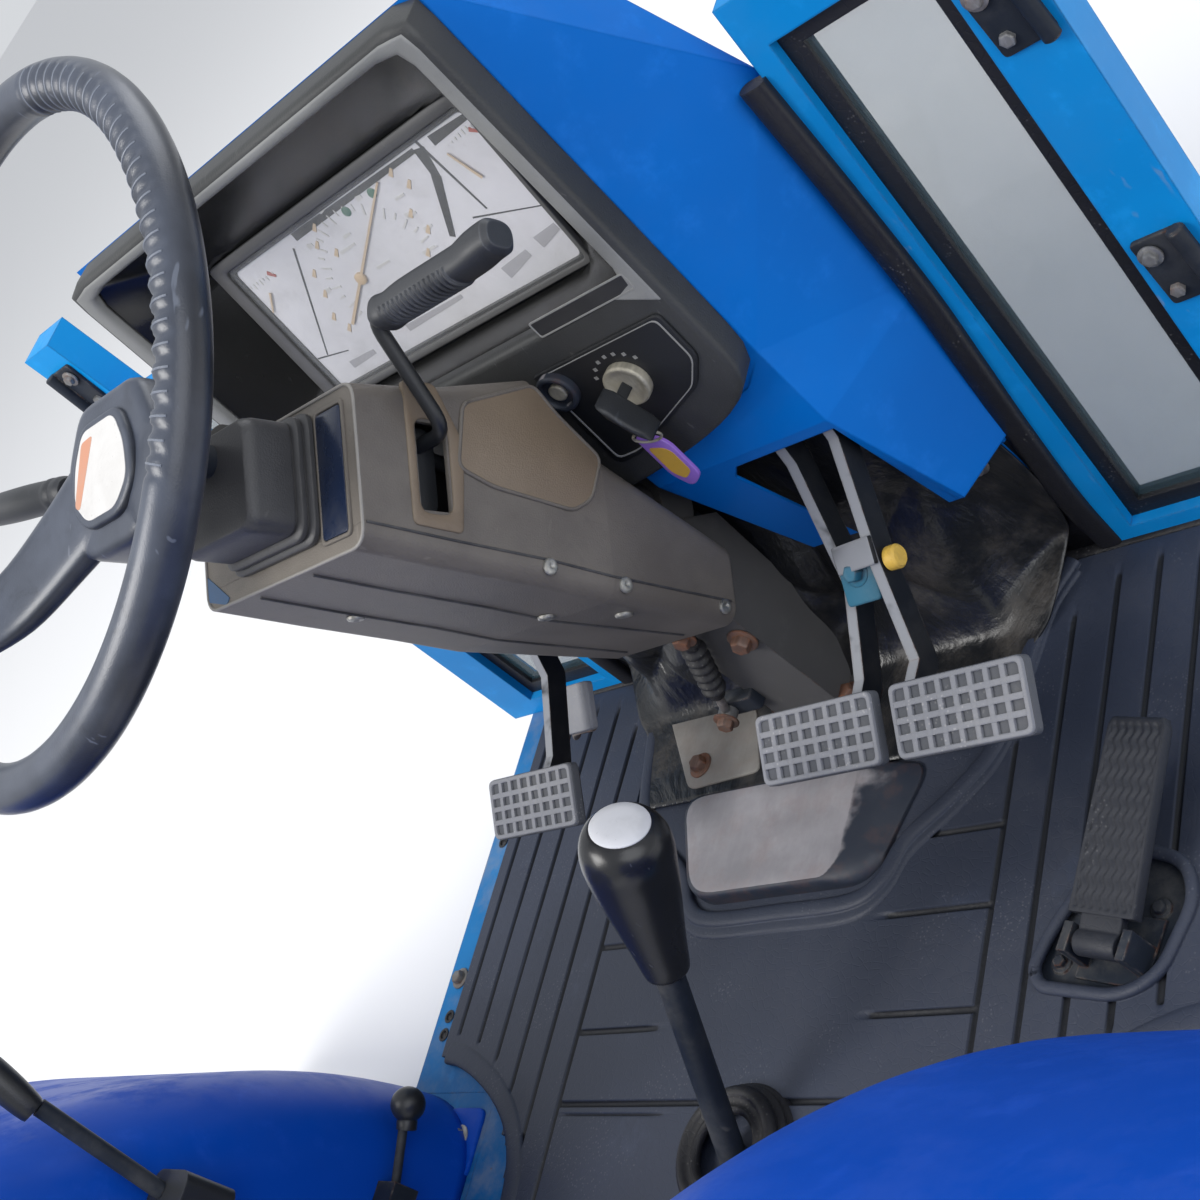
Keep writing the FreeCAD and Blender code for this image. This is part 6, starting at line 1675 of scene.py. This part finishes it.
@dataclass
class Fenders:
    """The wheel arches, with a pressed seam, foot bolts, the lever console and the two small levers."""

    centre: tuple[float, float] = (-651.0, -10.0)
    radius: float = 578.0
    wall_x: float = 278.0
    crease_x: float = 383.0
    outer_x: float = 690.0
    shoulder: float = 70.0
    sheet: float = 1.6

    def arch(self) -> Skin:
        """The profile turned about the axle: y and z are the centre plus r cos a and r sin a, from the foot at
        floor height round to the rear edge."""
        turns = np.linspace(np.pi / 2, 0, 14)
        depth = self.crease_x - self.wall_x
        curve_x = self.crease_x - depth * np.cos(turns[::-1])
        curve_r = self.radius - self.shoulder + self.shoulder * np.sin(turns[::-1])
        flat_x = np.linspace(self.crease_x, self.outer_x - 8, 16)[1:]
        x = np.concatenate([np.full(6, self.wall_x), curve_x, flat_x, [self.outer_x - 2.5, self.outer_x,
                                                                       self.outer_x, self.outer_x]])
        r = np.concatenate([np.linspace(402, 502, 6), curve_r, np.full(len(flat_x), self.radius),
                            [self.radius - 0.8, self.radius - 3.5, self.radius - 14, self.radius - 24]])
        y0, z0 = self.centre
        low = np.arcsin((DECK_TOP - z0) / r)
        high = np.pi - np.arcsin((210.0 - z0) / r)
        t = np.linspace(0, 1, 150)[:, None]
        a = low + (high - low) * t
        grid = np.stack([np.broadcast_to(x, a.shape), y0 + r * np.cos(a), z0 + r * np.sin(a)], -1)
        return grid_skin(grid[::-1])

    def cheek(self) -> Skin:
        """The flat wall inside the arch's circle, down to the floor and the rear edge."""
        y0, z0 = self.centre
        a = np.linspace(math.asin((DECK_TOP - z0) / 405.0), math.pi - math.asin((210 - z0) / 405.0), 40)
        ring = [(y0 + 405 * math.cos(b), z0 + 405 * math.sin(b)) for b in a]
        outline = np.array([*ring, (y0 - 200, 210.0), (y0 - 200, DECK_TOP)])
        flat = slab(outline, 0.0, self.sheet)
        return Skin(np.column_stack([self.wall_x + flat.points[:, 2], flat.points[:, 0], flat.points[:, 1]]),
                    flat.faces)

    def trim(self, side: int) -> None:
        """A stiffening bead on the wall, the foot's tab and its bolts."""
        name = "right" if side > 0 else "left"
        y0, z0 = self.centre
        a = np.linspace(0.22, 2.3, 60)
        path = np.column_stack([np.full(60, self.wall_x - 0.2), y0 + 470 * np.cos(a), z0 + 470 * np.sin(a)])
        bead = sweep(path, 3.2, (1, 0, 0), 10, 1.0)
        tab = box(self.wall_x - 1.5, self.wall_x + 44, y0 + 505, y0 + 560, DECK_TOP, DECK_TOP + 3.0, 8, 1.0)
        skin = bead.joined(tab)
        put("fender_trim_" + name, skin if side > 0 else skin.mirrored(), BLUE_FENDER, Body.PLATFORM)
        bolts = [hexagon(6.5, 7.0).moved(np.eye(3), (self.wall_x + 20, y0 + 536, DECK_TOP + 2.8))]
        bolts += [hexagon(6.0, 6.0).moved(facing((-1, 0, 0), (0, 0, 1)), (self.wall_x, y0 + py, z0 + pz))
                  for py, pz in ((455, 130), (330, 330), (120, 440), (-200, 400))]
        skin = bolts[0].joined(*bolts[1:])
        put("fender_bolts_" + name, skin if side > 0 else skin.mirrored(), STEEL_BRIGHT, Body.PLATFORM)

    def levers(self) -> None:
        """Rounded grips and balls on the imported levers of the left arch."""
        low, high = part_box("range_lever_ball")
        middle = np.array([(a + b) / 2 for a, b in zip(low, high)]) / MM
        angle = np.linspace(0.0, np.pi, 22)
        ball = lathe([(13.0 * math.sin(a) + 0.05, -13.0 * math.cos(a)) for a in angle], 36)
        neck = lathe([(7.5, -18), (7.8, -12), (6.5, -8)], 24)
        way = facing((0.1, 0.9, 0.35), (0, 0, 1))
        put("range_knob", ball.moved(np.eye(3), middle).joined(neck.moved(way, middle)), BLACK_SKIN, Body.PLATFORM,
            ("range_lever_ball",))
        low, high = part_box("position_grip")
        a = np.array([high[0], low[1], low[2]]) / MM + np.array([-10.5, 8.0, 6.0])
        b = np.array([low[0], high[1], high[2]]) / MM + np.array([10.5, -8.0, -6.0])
        t = np.linspace(0, 1, 26)
        radius = 8.4 + 2.6 * np.sin(np.pi * t) ** 0.6 + 0.8 * smoothstep(t, 0.75, 0.9) - 2.5 * smoothstep(t, 0.96, 1)
        put("position_handle", sweep(a + (b - a) * t[:, None], radius, (1, 0, 0), 28), BLACK_SKIN, Body.PLATFORM,
            ("position_grip",))

    def build(self) -> None:
        """Make both arches and dress what stands on the left one."""
        for name, arch, cheek in (("right", self.arch(), self.cheek()),
                                  ("left", self.arch().mirrored(), self.cheek().mirrored())):
            put("arch_" + name, arch, BLUE_FENDER, Body.PLATFORM, ("fender_" + name,),
                wall=self.sheet, sharp=40.0, closed=False)
            put("arch_cheek_" + name, cheek, BLUE_FENDER, Body.PLATFORM)
        self.trim(1)
        self.trim(-1)
        self.levers()
        paint_nodes(BLACK_SKIN, "fender_console")
        paint_nodes(STEEL_DARK, "range_lever", "position_lever")


@dataclass
class Cab:
    """The cowl and bulkhead, the corner windows with their hinges, and what is bolted to them."""

    foot_y: float = 285.0
    lean: float = 0.105

    def frame_y(self, z: float) -> float:
        """Y of the window frame's rear side: 285 plus 0.105 for each mm above the mat."""
        return self.foot_y + self.lean * (z - MAT_TOP)

    def hinges(self, side: int) -> None:
        """Two hinge leaves with knuckles and screws on the pillar."""
        name = "right" if side > 0 else "left"
        parts, heads = [], []
        for z in (250.0, 430.0, 545.0):
            x = 366 + 0.07 * (z - MAT_TOP) + 22
            y = self.frame_y(z)
            turn = facing((0, -1, self.lean), (0, 0, 1))
            leaf = box(-16, 16, -24, 24, 0, 3.0, 3, 0.8).moved(turn, (x, y, z))
            barrel = lathe([(4.0, -25), (5.2, -24), (5.2, 24), (4.0, 25)], 20).moved(
                turn @ facing((0, 1, 0), (1, 0, 0)), (x + 12, y - 4.5, z))
            parts += [leaf, barrel]
            heads += [hexagon(4.6, 5.0).moved(turn, (x + dx, y - 2.8, z + dz)) for dx, dz in ((-8, 14), (-8, -14))]
        skin = parts[0].joined(*parts[1:])
        bolts = heads[0].joined(*heads[1:])
        put("hinges_" + name, skin if side > 0 else skin.mirrored(), STEEL_DARK, Body.PLATFORM)
        put("hinge_bolts_" + name, bolts if side > 0 else bolts.mirrored(), STEEL_WORN, Body.PLATFORM)

    def trim(self) -> None:
        """Black sealing lips that close the gaps between cowl, bulkhead and uprights; above their foot the black also
        stands for painted shadow in the gap.
        """
        for side in (1, -1):
            rows = [(239.5, 288.0, 62.0), (240.0, 290.0, 110.0), (247.0, 297.5, 180.0), (255.0, 303.0, 240.0),
                    (262.5, 309.0, 300.0), (268.0, 317.0, 380.0), (272.0, 326.0, 465.0)]
            path = smooth_line(rows, 8)
            # Black lip the full height of the gap: a seal at its foot, painted shadow higher up.
            lip = sweep(path, 9.0, (0, 1, 0), 16, 0.7, 3.0)
            put("cowl_seal_and_shadow_" + ("right" if side > 0 else "left"), lip if side > 0 else lip.mirrored(), SEAL,
                Body.PLATFORM)

    def build(self) -> None:
        """Make the hinges and seals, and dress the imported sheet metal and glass."""
        self.trim()
        self.hinges(1)
        self.hinges(-1)
        paint_nodes(BLUE_COWL, "bulkhead", "cowl")
        paint_nodes(BLUE_FRAME, "window_frame_left", "window_frame_right")
        paint_nodes(SEAL, "window_gasket_left", "window_gasket_right")
        paint_nodes(GLASS, "window_glass_left", "window_glass_right")


@dataclass
class Mast:
    """What is fixed to the column's foot: a damper in a ribbed boot, its bracket, straps and nuts."""

    top: tuple[float, float, float] = (2.0, 192.0, 204.0)
    low: tuple[float, float, float] = (-50.0, 190.0, 104.0)
    folds: int = 7

    def build(self) -> None:
        """The boot's radius is a mean plus a cosine of the way along it."""
        top, low = np.array(self.top), np.array(self.low)
        t = np.linspace(0, 1, 70)
        radius = 7.6 + 2.0 * np.cos(2 * np.pi * self.folds * t)
        radius = radius * (1 - 0.35 * smoothstep(t, 0.93, 1.0)) * (0.65 + 0.35 * smoothstep(t, 0, 0.06))
        a, b = top + (low - top) * 0.12, top + (low - top) * 0.74
        boot = sweep(a + (b - a) * t[:, None], radius, (0, 1, 0), 24)
        put("damper_boot", boot, BOOT, Body.PLATFORM, sharp=70.0)
        rod = sweep(np.array([top, low]), 3.6, (0, 1, 0), 14)
        eyes = [lathe([(4, -6), (7.5, -5), (7.5, 5), (4, 6)], 24).moved(facing((0, -1, 0)), p) for p in (top, low)]
        put("damper_rod", rod.joined(*eyes), STEEL_WORN, Body.PLATFORM)
        arms = [box(-12, 16, 194, 210, 196, 212, 3, 1.5), box(-62, -22, 194, 206, 96, 112, 4, 1.5)]
        put("damper_brackets", arms[0].joined(arms[1]), STEEL_DARK, Body.PLATFORM)
        nuts = [hexagon(6.5, 7.5).moved(facing((0, -1, 0)), (p[0], p[1] - 5, p[2])) for p in (top, low)]
        nuts += [hexagon(7.5, 9.0).moved(facing((0, -1, 0.1)), (20, 203, 166)),
                 hexagon(7.0, 8.0).moved(np.eye(3), (33, 210, 66)), hexagon(7.0, 8.0).moved(np.eye(3), (-33, 210, 66))]
        put("mast_nuts", nuts[0].joined(*nuts[1:]), RUSTY, Body.PLATFORM)


# Studio


@dataclass
class Studio:
    """The pale floor and backdrop, the soft lamps and the camera."""

    floor_z: float = -0.003
    eye: tuple[float, float, float] = (0.818208, -0.376466, 0.833592)
    right: tuple[float, float, float] = (0.65375, 0.25221, -0.71344)
    up: tuple[float, float, float] = (0.22368, 0.83628, 0.50060)
    back: tuple[float, float, float] = (0.72290, -0.48685, 0.49030)
    lens: float = 50.53
    sensor: float = 36.0

    def floor(self) -> None:
        """A wide plane whose colour is near white to the camera and in mirrors."""
        tree = Tree("studio_floor")
        path = tree.node("ShaderNodeLightPath", {}, {}, "Is Camera Ray")
        seen = path.most(tree.node("ShaderNodeLightPath", {}, {}, "Is Glossy Ray"))
        tree.feed(base_color=tree.mix(seen, (0.62, 0.62, 0.63), (0.80, 0.80, 0.81)), roughness=0.9)
        mesh = bpy.data.meshes.new("studio_floor")
        size = 9.0
        mesh.from_pydata([(-size, -size, self.floor_z), (size, -size, self.floor_z), (size, size, self.floor_z),
                          (-size, size, self.floor_z)], [], [(0, 1, 2, 3)])
        mesh.materials.append(tree.material)
        plane = bpy.data.objects.new("studio_floor", mesh)
        bpy.context.scene.collection.objects.link(plane)

    def lamp(self, name: str, place: Sequence[float], aim: Sequence[float], size: float, power: float,
             tint: Colour) -> None:
        """One square area lamp that points from its place at an aim."""
        light = bpy.data.lights.new(name, "AREA")
        light.size, light.energy, light.color = size, power, tint
        lamp = bpy.data.objects.new(name, light)
        turn = facing(np.array(place) - np.array(aim), (0.0, 1.0, 0.1))
        matrix = Matrix(turn.tolist()).to_4x4()
        matrix.translation = place
        lamp.matrix_world = matrix
        bpy.context.scene.collection.objects.link(lamp)

    def light(self) -> None:
        """An even sky with a key lamp from the photograph's sunny side and a weak fill."""
        world = bpy.data.worlds.new("sky")
        world.use_nodes = True
        world.node_tree.nodes["Background"].inputs["Color"].default_value = (0.93, 0.96, 1.0, 1.0)
        world.node_tree.nodes["Background"].inputs["Strength"].default_value = 0.72
        bpy.context.scene.world = world
        self.lamp("key", (-1.3, -1.7, 2.9), (0.0, 0.1, 0.3), 1.6, 92.0, (1.0, 0.98, 0.95))
        self.lamp("fill", (2.4, -0.6, 1.7), (0.0, 0.1, 0.3), 2.2, 34.0, (0.95, 0.97, 1.0))
        self.lamp("rear", (0.4, 2.6, 1.9), (0.0, 0.2, 0.4), 1.8, 30.0, (0.95, 0.97, 1.0))

    def camera(self) -> None:
        """A camera with the photograph's place, turn and field of view."""
        view = bpy.data.cameras.new("view")
        view.lens, view.sensor_width, view.clip_start = self.lens, self.sensor, 0.02
        camera = bpy.data.objects.new("view", view)
        matrix = Matrix(np.column_stack([self.right, self.up, self.back]).tolist()).to_4x4()
        matrix.translation = self.eye
        camera.matrix_world = matrix
        bpy.context.scene.collection.objects.link(camera)
        bpy.context.scene.camera = camera
        bpy.context.scene.view_settings.view_transform = "Standard"

    def build(self) -> None:
        """Set the stage."""
        self.floor()
        self.light()
        self.camera()



def main() -> None:
    """Build and dress every sub-assembly in order, then the stage."""
    logging.basicConfig(level=logging.INFO, format="%(message)s")
    for made in (Floor(), Liner(), Cab(), Dash(), Column(), SteeringWheel(), HandThrottle(), Shuttle(), Pedals(),
                 Mast(), Accelerator(), GearLever(), Fenders(), Studio()):
        made.build()


if __name__ == "__main__":
    main()
